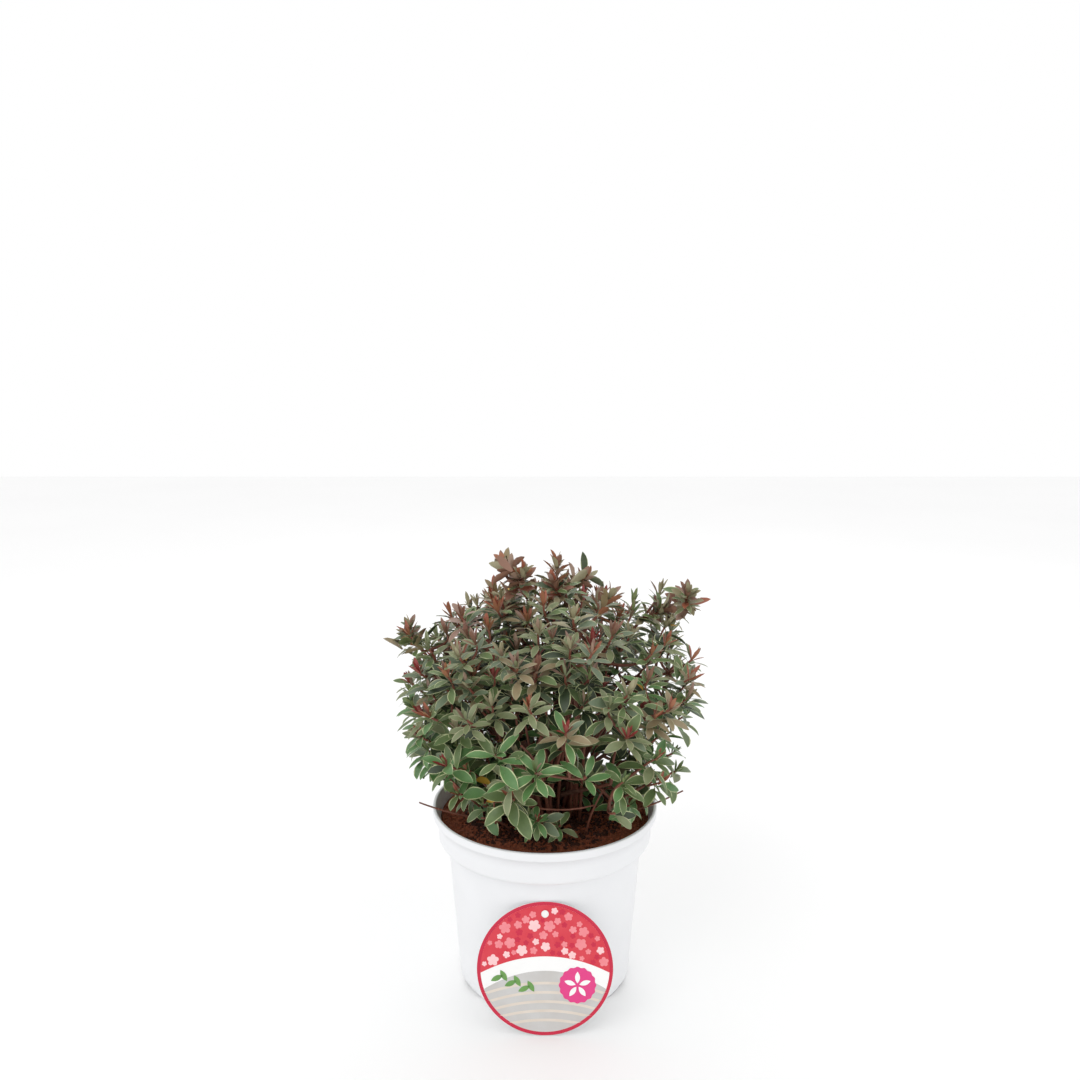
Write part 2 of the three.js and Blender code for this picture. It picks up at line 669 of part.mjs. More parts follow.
function massSolid(mass, index) {
  const random = seeded(SEED + index);
  const twigs = growTwigs(mass, random);
  const solids = twigs.map(({ path, radii }) => solidOf(limbGeometry(path, radii, TWIG_SIDES)));
  const leaves = [];
  twigs.slice(1).forEach((twig) => leaves.push(...shootLeaves(mass, twig, random, leaves)));
  let body = null;
  while (!body) {
    body = largestBody(fuse([...solids, ...leaves.map((leaf) => leaf.solid)]));
    leaves.pop();
  }
  return body;
}

// ---- the assembly

const azalea = new THREE.Group();
azalea.name = "azalea_shrub";

function place(name, geometry, look, parent = azalea) {
  const mesh = new THREE.Mesh(geometry, new THREE.MeshStandardMaterial(COLOURS[look]));
  mesh.name = name;
  parent.add(mesh);
  return mesh;
}

place("potting_mix", soilGeometry(), "soil");

const tagGroup = new THREE.Group();
const { disc, pin } = tagParts();
place("tag", disc, "tag", tagGroup);
place("tag_pin", pin, "pin", tagGroup);
const lean = radians(TAG_LEAN);
const tagRadius = TAG_DIAMETER / 2;
tagGroup.rotation.x = Math.PI / 2 - lean;
tagGroup.position.set(0, -TAG_FRONT + tagRadius * Math.sin(lean), TAG_LOWEST + tagRadius * Math.cos(lean));
azalea.add(tagGroup);
azalea.updateMatrixWorld(true);

const pinHole = new THREE.CylinderGeometry(PIN_SHANK_RADIUS + GAP, PIN_SHANK_RADIUS + GAP, 8, 12);
pinHole.rotateX(Math.PI / 2).translate(0, tagRadius - PIN_DROP, 4 - PIN_SHANK_LENGTH - GAP);
pinHole.applyMatrix4(tagGroup.matrixWorld);
place("pot", geometryOf(potSolid().subtract(solidOf(pinHole))), "pot");

place("trunk", trunkGeometry(), "bark");
const trunkRoom = solidOf(trunkGeometry(GAP));
MASSES.forEach((mass) => {
  const path = boughPath(mass);
  const bough = solidOf(limbGeometry(path, boughRadii(BOUGH_STEPS), BOUGH_SIDES));
  place(`bough_${mass.name}`, geometryOf(largestBody(bough.subtract(trunkRoom))), "bark");
});
MASSES.forEach((mass, index) => {
  place(`foliage_${mass.name}`, geometryOf(massSolid(mass, index)), "leaf");
});

export default azalea;
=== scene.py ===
"""A variegated evergreen azalea in its round nursery pot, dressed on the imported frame.

Sizes are in millimetres and turned to metres as each mesh is made. The shrub grows by the same seeded rule
as its solids: a short trunk, a bough to each mass of foliage, and twigs to the shoots' tips, here with more
shoots and with leaves of their real size.
"""

import logging
import math
from dataclasses import dataclass, field
from enum import Enum
from typing import Callable, Sequence

import bmesh
import bpy
import numpy as np
from mathutils import Matrix, Vector
from mathutils import noise as noises

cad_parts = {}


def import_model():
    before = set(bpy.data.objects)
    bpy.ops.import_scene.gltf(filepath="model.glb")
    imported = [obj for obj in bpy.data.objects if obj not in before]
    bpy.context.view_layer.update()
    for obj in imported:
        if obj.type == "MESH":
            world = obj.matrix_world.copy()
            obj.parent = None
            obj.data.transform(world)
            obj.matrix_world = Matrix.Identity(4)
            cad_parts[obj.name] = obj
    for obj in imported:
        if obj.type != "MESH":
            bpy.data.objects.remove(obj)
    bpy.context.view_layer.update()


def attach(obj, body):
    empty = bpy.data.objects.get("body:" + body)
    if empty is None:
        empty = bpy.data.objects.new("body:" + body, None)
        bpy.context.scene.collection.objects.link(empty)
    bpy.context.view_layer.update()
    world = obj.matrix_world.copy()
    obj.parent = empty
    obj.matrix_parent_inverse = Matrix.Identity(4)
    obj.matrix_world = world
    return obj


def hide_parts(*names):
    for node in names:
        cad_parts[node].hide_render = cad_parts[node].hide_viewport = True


log = logging.getLogger("azalea")

METRES = 0.001
BUMP_DISTANCE = 0.0008
GOLDEN_ANGLE = math.pi * (3 - math.sqrt(5))

# The seeds of what varies: leaves and inner stems count on from theirs, by mass
LEAF_SEED = 100
STEM_SEED = 300
LITTER_SEED = 41
TAG_SEED = 12

Array = np.ndarray
Pair = tuple[float, float]
Triple = tuple[float, float, float]
MeshArrays = tuple[Array, Array, Array]
Curve = Callable[[float], float]
Outline = Callable[[float], Pair]


def linear(code: str) -> Triple:
    """The linear colour of a six-digit sRGB code.

    Args:
        code: Six hexadecimal digits.

    Returns:
        Red, green and blue from 0 to 1.
    """
    parts = [int(code[i : i + 2], 16) / 255 for i in (0, 2, 4)]
    return tuple(p / 12.92 if p <= 0.04045 else ((p + 0.055) / 1.055) ** 2.4 for p in parts)


def unit(vector: Array) -> Array:
    """The vector at length one, or each row of it."""
    return vector / np.maximum(np.linalg.norm(vector, axis=-1, keepdims=True), 1e-9)


# ---------------- node groups


class NodeKit:
    """Shader node groups that more than one finish uses, each built once."""

    def __init__(self) -> None:
        """Starts with no groups."""
        self.groups: dict[str, bpy.types.NodeTree] = {}

    def mottle(self) -> bpy.types.NodeTree:
        """Soft patches of one colour shifted towards another.

        Returns:
            A group with inputs Base, Tint, Scale and Amount, and the output Color.
        """
        if "mottle" in self.groups:
            return self.groups["mottle"]
        tree = bpy.data.node_groups.new("soft_mottle", "ShaderNodeTree")
        face = tree.interface
        for name, kind in (
            ("Base", "NodeSocketColor"),
            ("Tint", "NodeSocketColor"),
            ("Scale", "NodeSocketFloat"),
            ("Amount", "NodeSocketFloat"),
        ):
            face.new_socket(name=name, in_out="INPUT", socket_type=kind)
        face.new_socket(name="Color", in_out="OUTPUT", socket_type="NodeSocketColor")
        start = tree.nodes.new("NodeGroupInput")
        end = tree.nodes.new("NodeGroupOutput")
        place = tree.nodes.new("ShaderNodeTexCoord")
        patches = tree.nodes.new("ShaderNodeTexNoise")
        patches.inputs["Detail"].default_value = 4
        sharpen = tree.nodes.new("ShaderNodeMapRange")
        sharpen.inputs["From Min"].default_value = 0.35
        sharpen.inputs["From Max"].default_value = 0.65
        share = tree.nodes.new("ShaderNodeMath")
        share.operation = "MULTIPLY"
        mix = tree.nodes.new("ShaderNodeMix")
        mix.data_type = "RGBA"
        join = tree.links.new
        join(place.outputs["Object"], patches.inputs["Vector"])
        join(start.outputs["Scale"], patches.inputs["Scale"])
        join(patches.outputs["Fac"], sharpen.inputs["Value"])
        join(sharpen.outputs["Result"], share.inputs[0])
        join(start.outputs["Amount"], share.inputs[1])
        join(share.outputs["Value"], mix.inputs["Factor"])
        join(start.outputs["Base"], mix.inputs[6])
        join(start.outputs["Tint"], mix.inputs[7])
        join(mix.outputs[2], end.inputs["Color"])
        self.groups["mottle"] = tree
        return tree

    def grain(self) -> bpy.types.NodeTree:
        """Fine surface height from two sizes of noise, stretched along one axis if wished.

        Returns:
            A group with inputs Coarse, Fine and Stretch (a vector), and the output Height.
        """
        if "grain" in self.groups:
            return self.groups["grain"]
        tree = bpy.data.node_groups.new("surface_grain", "ShaderNodeTree")
        face = tree.interface
        face.new_socket(name="Coarse", in_out="INPUT", socket_type="NodeSocketFloat")
        face.new_socket(name="Fine", in_out="INPUT", socket_type="NodeSocketFloat")
        face.new_socket(name="Stretch", in_out="INPUT", socket_type="NodeSocketVector")
        face.new_socket(name="Height", in_out="OUTPUT", socket_type="NodeSocketFloat")
        start = tree.nodes.new("NodeGroupInput")
        end = tree.nodes.new("NodeGroupOutput")
        place = tree.nodes.new("ShaderNodeTexCoord")
        stretch = tree.nodes.new("ShaderNodeVectorMath")
        stretch.operation = "MULTIPLY"
        add = tree.nodes.new("ShaderNodeMath")
        add.operation = "ADD"
        join = tree.links.new
        join(place.outputs["Object"], stretch.inputs[0])
        join(start.outputs["Stretch"], stretch.inputs[1])
        for name, slot in (("Coarse", 0), ("Fine", 1)):
            patches = tree.nodes.new("ShaderNodeTexNoise")
            patches.inputs["Detail"].default_value = 3
            join(stretch.outputs["Vector"], patches.inputs["Vector"])
            join(start.outputs[name], patches.inputs["Scale"])
            join(patches.outputs["Fac"], add.inputs[slot])
        join(add.outputs["Value"], end.inputs["Height"])
        self.groups["grain"] = tree
        return tree


@dataclass(frozen=True)
class Finish:
    """A surface finish: a base colour with soft mottling, roughness and a fine relief.

    Attributes:
        name: The material's name.
        colour: The base colour's sRGB code.
        tint: The colour that patches shift towards.
        amount: How far they shift, from 0 to 1.
        patch_scale: Patches per metre.
        roughness: The roughness of the surface.
        relief: The strength of its bump.
        coarse: The coarse grain, per metre.
        fine: The fine grain, per metre.
        stretch: How each axis is scaled for the grain.
        under: The colour of the back of a thin leaf, or nothing.
    """

    name: str
    colour: str
    tint: str
    amount: float = 0.5
    patch_scale: float = 60.0
    roughness: float = 0.5
    relief: float = 0.1
    coarse: float = 300.0
    fine: float = 1500.0
    stretch: Triple = (1.0, 1.0, 1.0)
    under: str = ""

    def build(self, kit: NodeKit) -> bpy.types.Material:
        """Makes the material.

        Args:
            kit: The shared node groups.

        Returns:
            The material, which reads Object coordinates.
        """
        material = bpy.data.materials.new(self.name)
        material.use_nodes = True
        tree = material.node_tree
        shader = tree.nodes["Principled BSDF"]
        shader.inputs["Roughness"].default_value = self.roughness
        material.diffuse_color = (*linear(self.colour), 1)
        colour = tree.nodes.new("ShaderNodeGroup")
        colour.node_tree = kit.mottle()
        colour.inputs["Base"].default_value = (*linear(self.colour), 1)
        colour.inputs["Tint"].default_value = (*linear(self.tint), 1)
        colour.inputs["Scale"].default_value = self.patch_scale
        colour.inputs["Amount"].default_value = self.amount
        shown = colour.outputs["Color"]
        if self.under:
            back = tree.nodes.new("ShaderNodeNewGeometry")
            sides = tree.nodes.new("ShaderNodeMix")
            sides.data_type = "RGBA"
            sides.inputs[7].default_value = (*linear(self.under), 1)
            tree.links.new(back.outputs["Backfacing"], sides.inputs["Factor"])
            tree.links.new(shown, sides.inputs[6])
            shown = sides.outputs[2]
        tree.links.new(shown, shader.inputs["Base Color"])
        grain = tree.nodes.new("ShaderNodeGroup")
        grain.node_tree = kit.grain()
        grain.inputs["Coarse"].default_value = self.coarse
        grain.inputs["Fine"].default_value = self.fine
        grain.inputs["Stretch"].default_value = self.stretch
        bump = tree.nodes.new("ShaderNodeBump")
        bump.inputs["Strength"].default_value = self.relief
        bump.inputs["Distance"].default_value = BUMP_DISTANCE
        tree.links.new(grain.outputs["Height"], bump.inputs["Height"])
        tree.links.new(bump.outputs["Normal"], shader.inputs["Normal"])
        return material


def leaf_finish(name: str, colour: str, tint: str, under: str) -> Finish:
    """A leaf's finish: satin, with faint patches and a paler back.

    Args:
        name: The material's name.
        colour: The upper side's colour.
        tint: The colour of its patches.
        under: The colour of its back.

    Returns:
        The finish.
    """
    return Finish(
        name,
        colour,
        tint,
        amount=0.45,
        patch_scale=140,
        roughness=0.42,
        relief=0.12,
        coarse=500,
        fine=2400,
        under=under,
    )


class Leaf(Enum):
    """The colours that whole leaves come in, by their slot on a foliage piece."""

    SAGE = 0
    SLATE = 1
    BRONZE = 2
    MOSS = 3
    GREEN = 4
    # A dark leaf colour that paints the shade deep inside the crown
    PAINTED_SHADE = 5
    BLUSH = 6
    GOLD = 7
    RUST = 8
    CRIMSON = 9
    SAGE_EDGE = 10
    GREEN_EDGE = 11
    BLUSH_EDGE = 12
    UMBER = 13
    STRAW = 14


LEAF_FINISHES: dict[Leaf, Finish] = {
    Leaf.SAGE: leaf_finish("leaf_sage", "7f8862", "68724f", "8c9270"),
    Leaf.SLATE: leaf_finish("leaf_slate", "6c7b61", "586650", "7c876b"),
    Leaf.BRONZE: leaf_finish("leaf_bronze", "948365", "777252", "9a8a68"),
    Leaf.MOSS: leaf_finish("leaf_moss", "667a4b", "526540", "808d5c"),
    Leaf.GREEN: leaf_finish("leaf_green", "5f864f", "4a7040", "80a06a"),
    # Painted shade: the dark colour given to leaves deep inside the crown
    Leaf.PAINTED_SHADE: leaf_finish("leaf_painted_shade", "34432a", "28331e", "48563a"),
    Leaf.BLUSH: leaf_finish("leaf_blush", "967668", "857260", "a08674"),
    Leaf.GOLD: leaf_finish("leaf_gold", "c9a03c", "b98a36", "c2a458"),
    Leaf.RUST: leaf_finish("young_rust", "a05e44", "8a4c3c", "a56e52"),
    Leaf.CRIMSON: leaf_finish("young_crimson", "8c3431", "9c4a40", "98504a"),
    Leaf.UMBER: leaf_finish("young_umber", "8a6050", "9a7562", "8f6a58"),
    Leaf.STRAW: leaf_finish("leaf_straw", "9c9576", "867b5e", "a39d7e"),
    Leaf.SAGE_EDGE: leaf_finish("edge_sage", "b0ae8c", "9c9b7c", "a9a688"),
    Leaf.GREEN_EDGE: leaf_finish("edge_green", "c3ca9b", "b2bb88", "b8bf90"),
    Leaf.BLUSH_EDGE: leaf_finish("edge_blush", "b3937f", "a88572", "ae9080"),
}

# The colour of a leaf's margin; the others have none of their own
EDGE_OF: dict[Leaf, Leaf] = {
    **dict.fromkeys((Leaf.SAGE, Leaf.SLATE, Leaf.BRONZE, Leaf.STRAW), Leaf.SAGE_EDGE),
    **dict.fromkeys((Leaf.MOSS, Leaf.GREEN, Leaf.PAINTED_SHADE), Leaf.GREEN_EDGE),
    Leaf.BLUSH: Leaf.BLUSH_EDGE,
}

BARK = Finish(
    "bark_old", "5d3a2b", "7a5a48", 0.6, 220, 0.8, 0.6, coarse=700, fine=2600, stretch=(1, 1, 0.3)
)
TWIG_BARK = Finish(
    "bark_twig", "6a3b2b", "82503c", 0.6, 260, 0.62, 0.4, coarse=900, fine=3000, stretch=(1, 1, 0.4)
)
YOUNG_BARK = Finish("bark_young", "7d4236", "8a5a40", 0.5, 200, 0.55, 0.25)
POT_WHITE = Finish("pot_white", "ecedef", "e6e7e9", 0.6, 12, 0.45, 0.05, coarse=500, fine=2600)
# Dark mix: the soil's own dark colour, and painted shade where it lies in the middle under the crown
MIX_DARK_AND_SHADE = Finish("mix_dark_and_painted_shade", "34190f", "502817", 0.7, 120, 0.95, 0.9, coarse=500, fine=2200)
MIX_RED = Finish("mix_red", "82432a", "965434", 0.7, 160, 0.95, 0.8, coarse=500, fine=2200)
MIX_FIBRE = Finish("mix_fibre", "8a5236", "6b3a26", 0.7, 160, 0.9, 0.6, coarse=600, fine=2400)
PIN_WHITE = Finish("pin_white", "f1f1ee", "e6e6e2", 0.3, 60, 0.35, 0.05)
FLOOR_WHITE = Finish("floor_white", "fafafa", "f6f6f6", 0.3, 2, 0.8, 0.0)


# ---------------- pieces


class Dresser:
    """Makes finished pieces: meshes in metres at the origin, riding on the one body."""

    def __init__(self) -> None:
        """Prepares the shared node groups and an empty store of materials."""
        self.kit = NodeKit()
        self.materials: dict[str, bpy.types.Material] = {}

    def material(self, finish: Finish) -> bpy.types.Material:
        """The material of a finish, made on first use."""
        if finish.name not in self.materials:
            self.materials[finish.name] = finish.build(self.kit)
        return self.materials[finish.name]

    def piece(
        self,
        name: str,
        mesh: bpy.types.Mesh,
        finishes: Sequence[Finish],
        nodes: Sequence[str],
        slot: str,
        smooth: bool = True,
    ) -> None:
        """Puts a mesh in the scene as a piece.

        Args:
            name: The piece's name.
            mesh: Its mesh, in metres.
            finishes: Its finishes, in the order of its faces' material numbers.
            nodes: The solids that it stands for.
            slot: A material slot's name; not used.
            smooth: Whether its faces are shaded smooth.
        """
        mesh.name = name
        for finish in finishes:
            mesh.materials.append(self.material(finish))
        mesh.polygons.foreach_set("use_smooth", [smooth] * len(mesh.polygons))
        thing = bpy.data.objects.new(name, mesh)
        bpy.context.scene.collection.objects.link(thing)
        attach(thing, "root")
        if nodes:
            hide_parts(*nodes)
        log.info("%s: %d faces", name, len(mesh.polygons))


def mesh_of(bm: bmesh.types.BMesh) -> bpy.types.Mesh:
    """Turns a bmesh in millimetres into a mesh in metres, and frees it.

    Args:
        bm: The bmesh.

    Returns:
        The mesh.
    """
    bmesh.ops.scale(bm, vec=(METRES,) * 3, verts=bm.verts)
    mesh = bpy.data.meshes.new("piece")
    bm.to_mesh(mesh)
    bm.free()
    return mesh


def mesh_from_arrays(points: Array, quads: Array, slots: Array) -> bpy.types.Mesh:
    """A joined mesh of many small things.

    Args:
        points: Their vertices in millimetres, (n, 3).
        quads: Vertex numbers of their faces, (m, 4).
        slots: The material number of each face, (m,).

    Returns:
        The mesh, in metres.
    """
    mesh = bpy.data.meshes.new("piece")
    mesh.from_pydata((points * METRES).tolist(), [], quads.tolist())
    mesh.polygons.foreach_set("material_index", slots.astype(np.int32))
    mesh.update()
    return mesh


# ---------------- the rule that the shrub grows by


class Seeded:
    """A small seeded generator of numbers from 0 to 1, the same as the solids are grown with."""

    def __init__(self, seed: int) -> None:
        """Sets its state from a whole number."""
        self.state = seed & 0xFFFFFFFF

    def __call__(self) -> float:
        """The next number."""
        mask = 0xFFFFFFFF
        self.state = (self.state + 0x6D2B79F5) & mask
        mixed = self.state
        mixed = ((mixed ^ (mixed >> 15)) * (mixed | 1)) & mask
        mixed ^= (mixed + (((mixed ^ (mixed >> 7)) * (mixed | 61)) & mask)) & mask
        return ((mixed ^ (mixed >> 14)) & mask) / 4294967296


@dataclass(frozen=True)
class Mass:
    """One mass of foliage, as in the solids.

    Attributes:
        name: Its name, after its place in the crown.
        bearing: Degrees from +X towards +Y to its middle.
        out: The distance of its middle from the pot's middle.
        height: The height of its middle.
        tier: The tier of the trunk that its bough leaves from.
        shoots: How many shoots the solid has.
        spread: How far from its middle they may end.
        fine: How many more shoots it has here.
        leaders: The tips of its shoots that stand out of the dome.
    """

    name: str
    bearing: float
    out: float
    height: float
    tier: int
    shoots: int
    spread: float
    fine: int
    leaders: tuple[Triple, ...] = ()

    def middle(self) -> Array:
        """The place of its middle."""
        turn = math.radians(self.bearing)
        return np.array([self.out * math.cos(turn), self.out * math.sin(turn), self.height])


MASSES: tuple[Mass, ...] = (
    Mass("top", 100, 12, 374, 3, 15, 90, 22, ((8, -6, 430), (-32, 8, 424))),
    Mass("right", 4, 100, 335, 2, 13, 90, 18, ((132, -12, 408),)),
    Mass("back_right", 58, 92, 345, 2, 12, 90, 18, ((44, 74, 422),)),
    Mass("back_left", 122, 92, 340, 2, 12, 90, 18, ((-58, 62, 416),)),
    Mass("left", 182, 100, 328, 2, 13, 90, 20, ((-134, -14, 368),)),
    Mass("front_left", 240, 86, 338, 2, 13, 90, 18, ((-52, -38, 420),)),
    Mass("front_right", 302, 88, 342, 2, 13, 90, 11, ((66, -36, 424),)),
    Mass("front", 265, 106, 298, 1, 7, 54, 4),
    Mass("low_right", 322, 100, 236, 1, 7, 62, 4),
    Mass("low_back_right", 22, 98, 242, 1, 6, 62, 9),
    Mass("low_back", 82, 96, 238, 1, 6, 62, 9),
    Mass("low_back_left", 138, 98, 242, 1, 6, 62, 9),
    Mass("low_left", 190, 100, 240, 1, 7, 62, 12),
    Mass("low_front_left", 231, 96, 230, 1, 7, 58, 4),
    Mass("low_front", 274, 80, 193, 0, 3, 26, 0),
)


@dataclass(frozen=True)
class Pot:
    """The pot's sizes and what depends on them alone."""

    height: float = 187
    foot_radius: float = 89
    foot_corner: float = 5
    wall_top: float = 100
    wall: float = 2.4
    floor: float = 7
    band_bottom: float = 150
    band_radius: float = 109.5
    band_fillet: float = 6
    lip_radius: float = 115.3
    lip_width: float = 3.4
    lip_height: float = 8
    notches: int = 6
    notch_rise: float = 4.5
    notch_width: float = 40
    notch_depth: float = 16
    soil_top: float = 173
    soil_mound: float = 4

    def wall_radius(self, height: float) -> float:
        """The radius of the wall's outside at a height under the band."""
        share = (height - self.foot_corner) / (self.band_bottom - self.foot_corner)
        return self.foot_radius + (self.wall_top - self.foot_radius) * share


@dataclass(frozen=True)
class Twig:
    """A twig, bent along a curve of three points.

    Attributes:
        start: Its root.
        bend: The point that it bends towards.
        tip: Its tip.
        root_radius: Its radius at its root.
        tip_radius: Its radius at its tip.
        shoot: Whether it bears leaves.
        plume: Whether its shoot stands out of the dome.
    """

    start: Array
    bend: Array
    tip: Array
    root_radius: float
    tip_radius: float
    shoot: bool
    plume: bool = False

    def point(self, share: float) -> Array:
        """A place along it, from 0 at its root to 1 at its tip."""
        rest = 1 - share
        return rest * rest * self.start + 2 * rest * share * self.bend + share * share * self.tip

    def ended_short(self, by: float) -> "Twig":
        """The same twig with a plume, ended short of its tip to leave room for the young leaves.

        Args:
            by: How much shorter it is.

        Returns:
            The twig.
        """
        share = 1 - by / float(np.linalg.norm(self.tip - self.start))
        bend = self.start + (self.bend - self.start) * share
        return Twig(self.start, bend, self.point(share), self.root_radius, self.tip_radius, True, True)


@dataclass
class Crown:
    """The crown's dome, the spaces of its masses, and the rule's own shares and sizes.

    Attributes:
        pot: The pot that it stands in.
        middle: The dome's middle.
        clearings: The middle and half sizes of each open hollow low in the front.
        radius: The dome's radius.
        rise: How far it reaches over its middle.
        drop: How far it reaches under it.
        squareness: How square its shoulders are; 2 is an ellipsoid.
        leader_reach: How near to a leading shoot's tip a twig may leave the dome.
        clearance: The room between a twig or leaf and the pot, the mix or a limb.
        cell_margin: The room between a mass and the border of its space.
        floor_slope_from: Where the lowest height of foliage starts to rise to the pot's lip.
        trunk_height: The trunk's height over the mix.
        trunk_lean: How far it leans to the left over that height.
        trunk_radius: Its radius over its flare.
        tier_heights: The height of each tier of boughs on it.
        tier_climbs: How steeply each tier sets out, in degrees.
        tier_starts: How far from the trunk's axis each tier starts.
        bough_share: How far towards its mass's middle a bough reaches.
        bough_steps: The stretches of a bough's solid.
        bough_root: Its radius at its root.
        bough_tip: Its radius at its tip.
        bough_bend: How far along it its bend lies.
        twig_root: A twig's radius at its root.
        twig_tip: Its radius at its tip.
        twig_bend: How far from its tip its bend lies.
        stem_radius: The radius of a mass's stem at its root.
        stem_bend: How far along the stem its bend lies.
        heart_share: How far towards the mass's middle the stem reaches.
        least_climb: How far under a tip a joint lies, or else it costs more.
        climb_cost: How much more.
        joint_tries: How many joints are tried for a twig.
        inner_worth: What a place in the dome's middle is worth, of one at its surface.
        border_share: How much of an inset counts at a space's border.
        axis_lift: How far up a shoot points at the height of the dome's middle.
        least_lift: How far up it points at least.
        shoot_inset: How far inside the space a shoot's tip lies.
        shoot_tries: How many places are tried for it.
        fine_shares: The inset and both radii of a finer twig, as shares of another's.
        plume_room: How much shorter a leading shoot's twig is, if it is high and if it isn't.
        plume_high: The height over which a leading shoot is high.
        seed: What the seeds of the masses are counted from.
        gap: The room between a bough and its mass's stem, and under the trunk.
    """

    pot: Pot
    middle: Array = field(default_factory=lambda: np.array([8.0, 0.0, 310.0]))
    clearings: tuple[tuple[Triple, Triple], ...] = (
        ((32, -100, 226), (38, 64, 50)),
        ((-74, -80, 200), (36, 36, 16)),
    )
    radius: float = 160
    rise: float = 112
    drop: float = 138
    squareness: float = 2.7
    leader_reach: float = 30
    clearance: float = 1.2
    cell_margin: float = 0.3
    floor_slope_from: float = 88
    trunk_height: float = 32
    trunk_lean: float = 3
    trunk_radius: float = 11
    tier_heights: tuple[float, ...] = (4, 12, 21, 30)
    tier_climbs: tuple[float, ...] = (8, 26, 54, 88)
    bough_share: float = 0.56
    bough_steps: int = 4
    bough_root: float = 3.4
    bough_tip: float = 2.1
    bough_bend: float = 0.5
    tier_starts: tuple[float, ...] = (4, 4, 4, 1)
    twig_root: float = 1.8
    twig_bend: float = 0.45
    heart_share: float = 0.6
    stem_bend: float = 0.4
    least_climb: float = 15
    climb_cost: float = 1.5
    inner_worth: float = 0.55
    border_share: float = 0.6
    axis_lift: float = 0.75
    least_lift: float = 0.35
    joint_tries: int = 4
    fine_shares: Triple = (0.6, 0.8, 0.85)
    plume_room: Pair = (14, 24)
    plume_high: float = 423
    twig_tip: float = 1.1
    stem_radius: float = 2.3
    shoot_inset: float = 15
    shoot_tries: int = 60
    seed: int = 7
    gap: float = 0.3

    def level(self, point: Array, inset: float = 0) -> float:
        """1 on the dome's surface, less inside it."""
        flat = math.hypot(point[0] - self.middle[0], point[1] - self.middle[1])
        rise = point[2] - self.middle[2]
        depth = (self.rise if rise > 0 else self.drop) - inset
        share = (flat / (self.radius - inset)) ** self.squareness
        return share + (abs(rise) / depth) ** self.squareness

    def floor_height(self, point: Array) -> float:
        """The lowest height that foliage may have: over the mix, and over the pot's lip."""
        flat = math.hypot(point[0], point[1])
        low = self.pot.soil_top + self.pot.soil_mound + self.clearance
        high = self.pot.height + self.clearance
        inner = self.pot.lip_radius - self.pot.lip_width - 2
        slope = (high - low) / (inner - self.floor_slope_from)
        return low + max(0.0, flat - self.floor_slope_from) * slope

    def in_clearing(self, point: Array) -> bool:
        """Whether a place is in an open hollow low in the front, where the stems and the mix show."""
        return any(np.sum(((point - np.array(middle)) / half) ** 2) < 1 for middle, half in self.clearings)

    def near_leader(self, mass: Mass, point: Array) -> bool:
        """Whether a point may leave the dome, being close to a shoot that stands out of it."""
        return any(np.linalg.norm(point - np.array(tip)) < self.leader_reach for tip in mass.leaders)

    def in_crown(self, mass: Mass, point: Array, inset: float) -> bool:
        """Whether a point lies over the pot and inside the dome."""
        if point[2] < self.floor_height(point):
            return False
        return self.near_leader(mass, point) or self.level(point, inset) <= 1

    def with_plume(self, twig: Twig) -> Twig:
        """A twig whose shoot stands out of the dome ends short, with a plume; any other stays as it is."""
        if not twig.shoot or self.level(twig.tip) <= 1:
            return twig
        return twig.ended_short(self.plume_room[0 if twig.tip[2] > self.plume_high else 1])

    def borders(self, mass: Mass) -> tuple[Array, Array]:
        """The flat borders between a mass's space and the others.

        Args:
            mass: The mass.

        Returns:
            The direction of each of the other masses, and how far off the border is.
        """
        away = np.array([other.middle() - mass.middle() for other in MASSES if other is not mass])
        return unit(away), np.linalg.norm(away, axis=1) / 2

    def in_space(self, mass: Mass, borders: tuple[Array, Array], point: Array, inset: float) -> bool:
        """Whether a point lies in a mass's own space, nearer to its middle than to any other's."""
        if not self.in_crown(mass, point, inset):
            return False
        reach = borders[0] @ (point - mass.middle())
        return bool(np.all(reach < borders[1] - self.cell_margin - inset * self.border_share))

    def trunk_point(self, height: float) -> Array:
        """A place on the trunk's axis."""
        foot = self.pot.soil_top + self.pot.soil_mound + self.gap
        return np.array([-self.trunk_lean * height / self.trunk_height, 0, foot + height])

    def bough(self, mass: Mass) -> Twig:
        """The limb from the trunk to a mass: it leaves along its tier's climb and bends up."""
        source = self.trunk_point(self.tier_heights[mass.tier])
        climb = math.radians(self.tier_climbs[mass.tier])
        turn = math.radians(mass.bearing)
        flat = math.cos(climb)
        leave = np.array([flat * math.cos(turn), flat * math.sin(turn), math.sin(climb)])
        start = source + leave * self.tier_starts[mass.tier]
        end = source + (mass.middle() - source) * self.bough_share
        bend = start + leave * (float(np.linalg.norm(end - start)) * self.bough_bend)
        return Twig(start, bend, end, self.bough_root, self.bough_tip, False)

    def limbs(self) -> list[tuple[Array, Array, float]]:
        """Every stretch of the trunk and the boughs, as its two ends and a radius."""
        heights = (0, self.trunk_height / 2, self.trunk_height)
        spine = [self.trunk_point(h) for h in heights]
        found = [(a, b, self.trunk_radius) for a, b in zip(spine, spine[1:])]
        for mass in MASSES:
            path = self.bough_points(mass)
            found += [(a, b, self.bough_root) for a, b in zip(path, path[1:])]
        return found

    def bough_points(self, mass: Mass) -> list[Array]:
        """The bend points of a bough, as its solid has them."""
        bough = self.bough(mass)
        return [bough.point(i / self.bough_steps) for i in range(self.bough_steps + 1)]


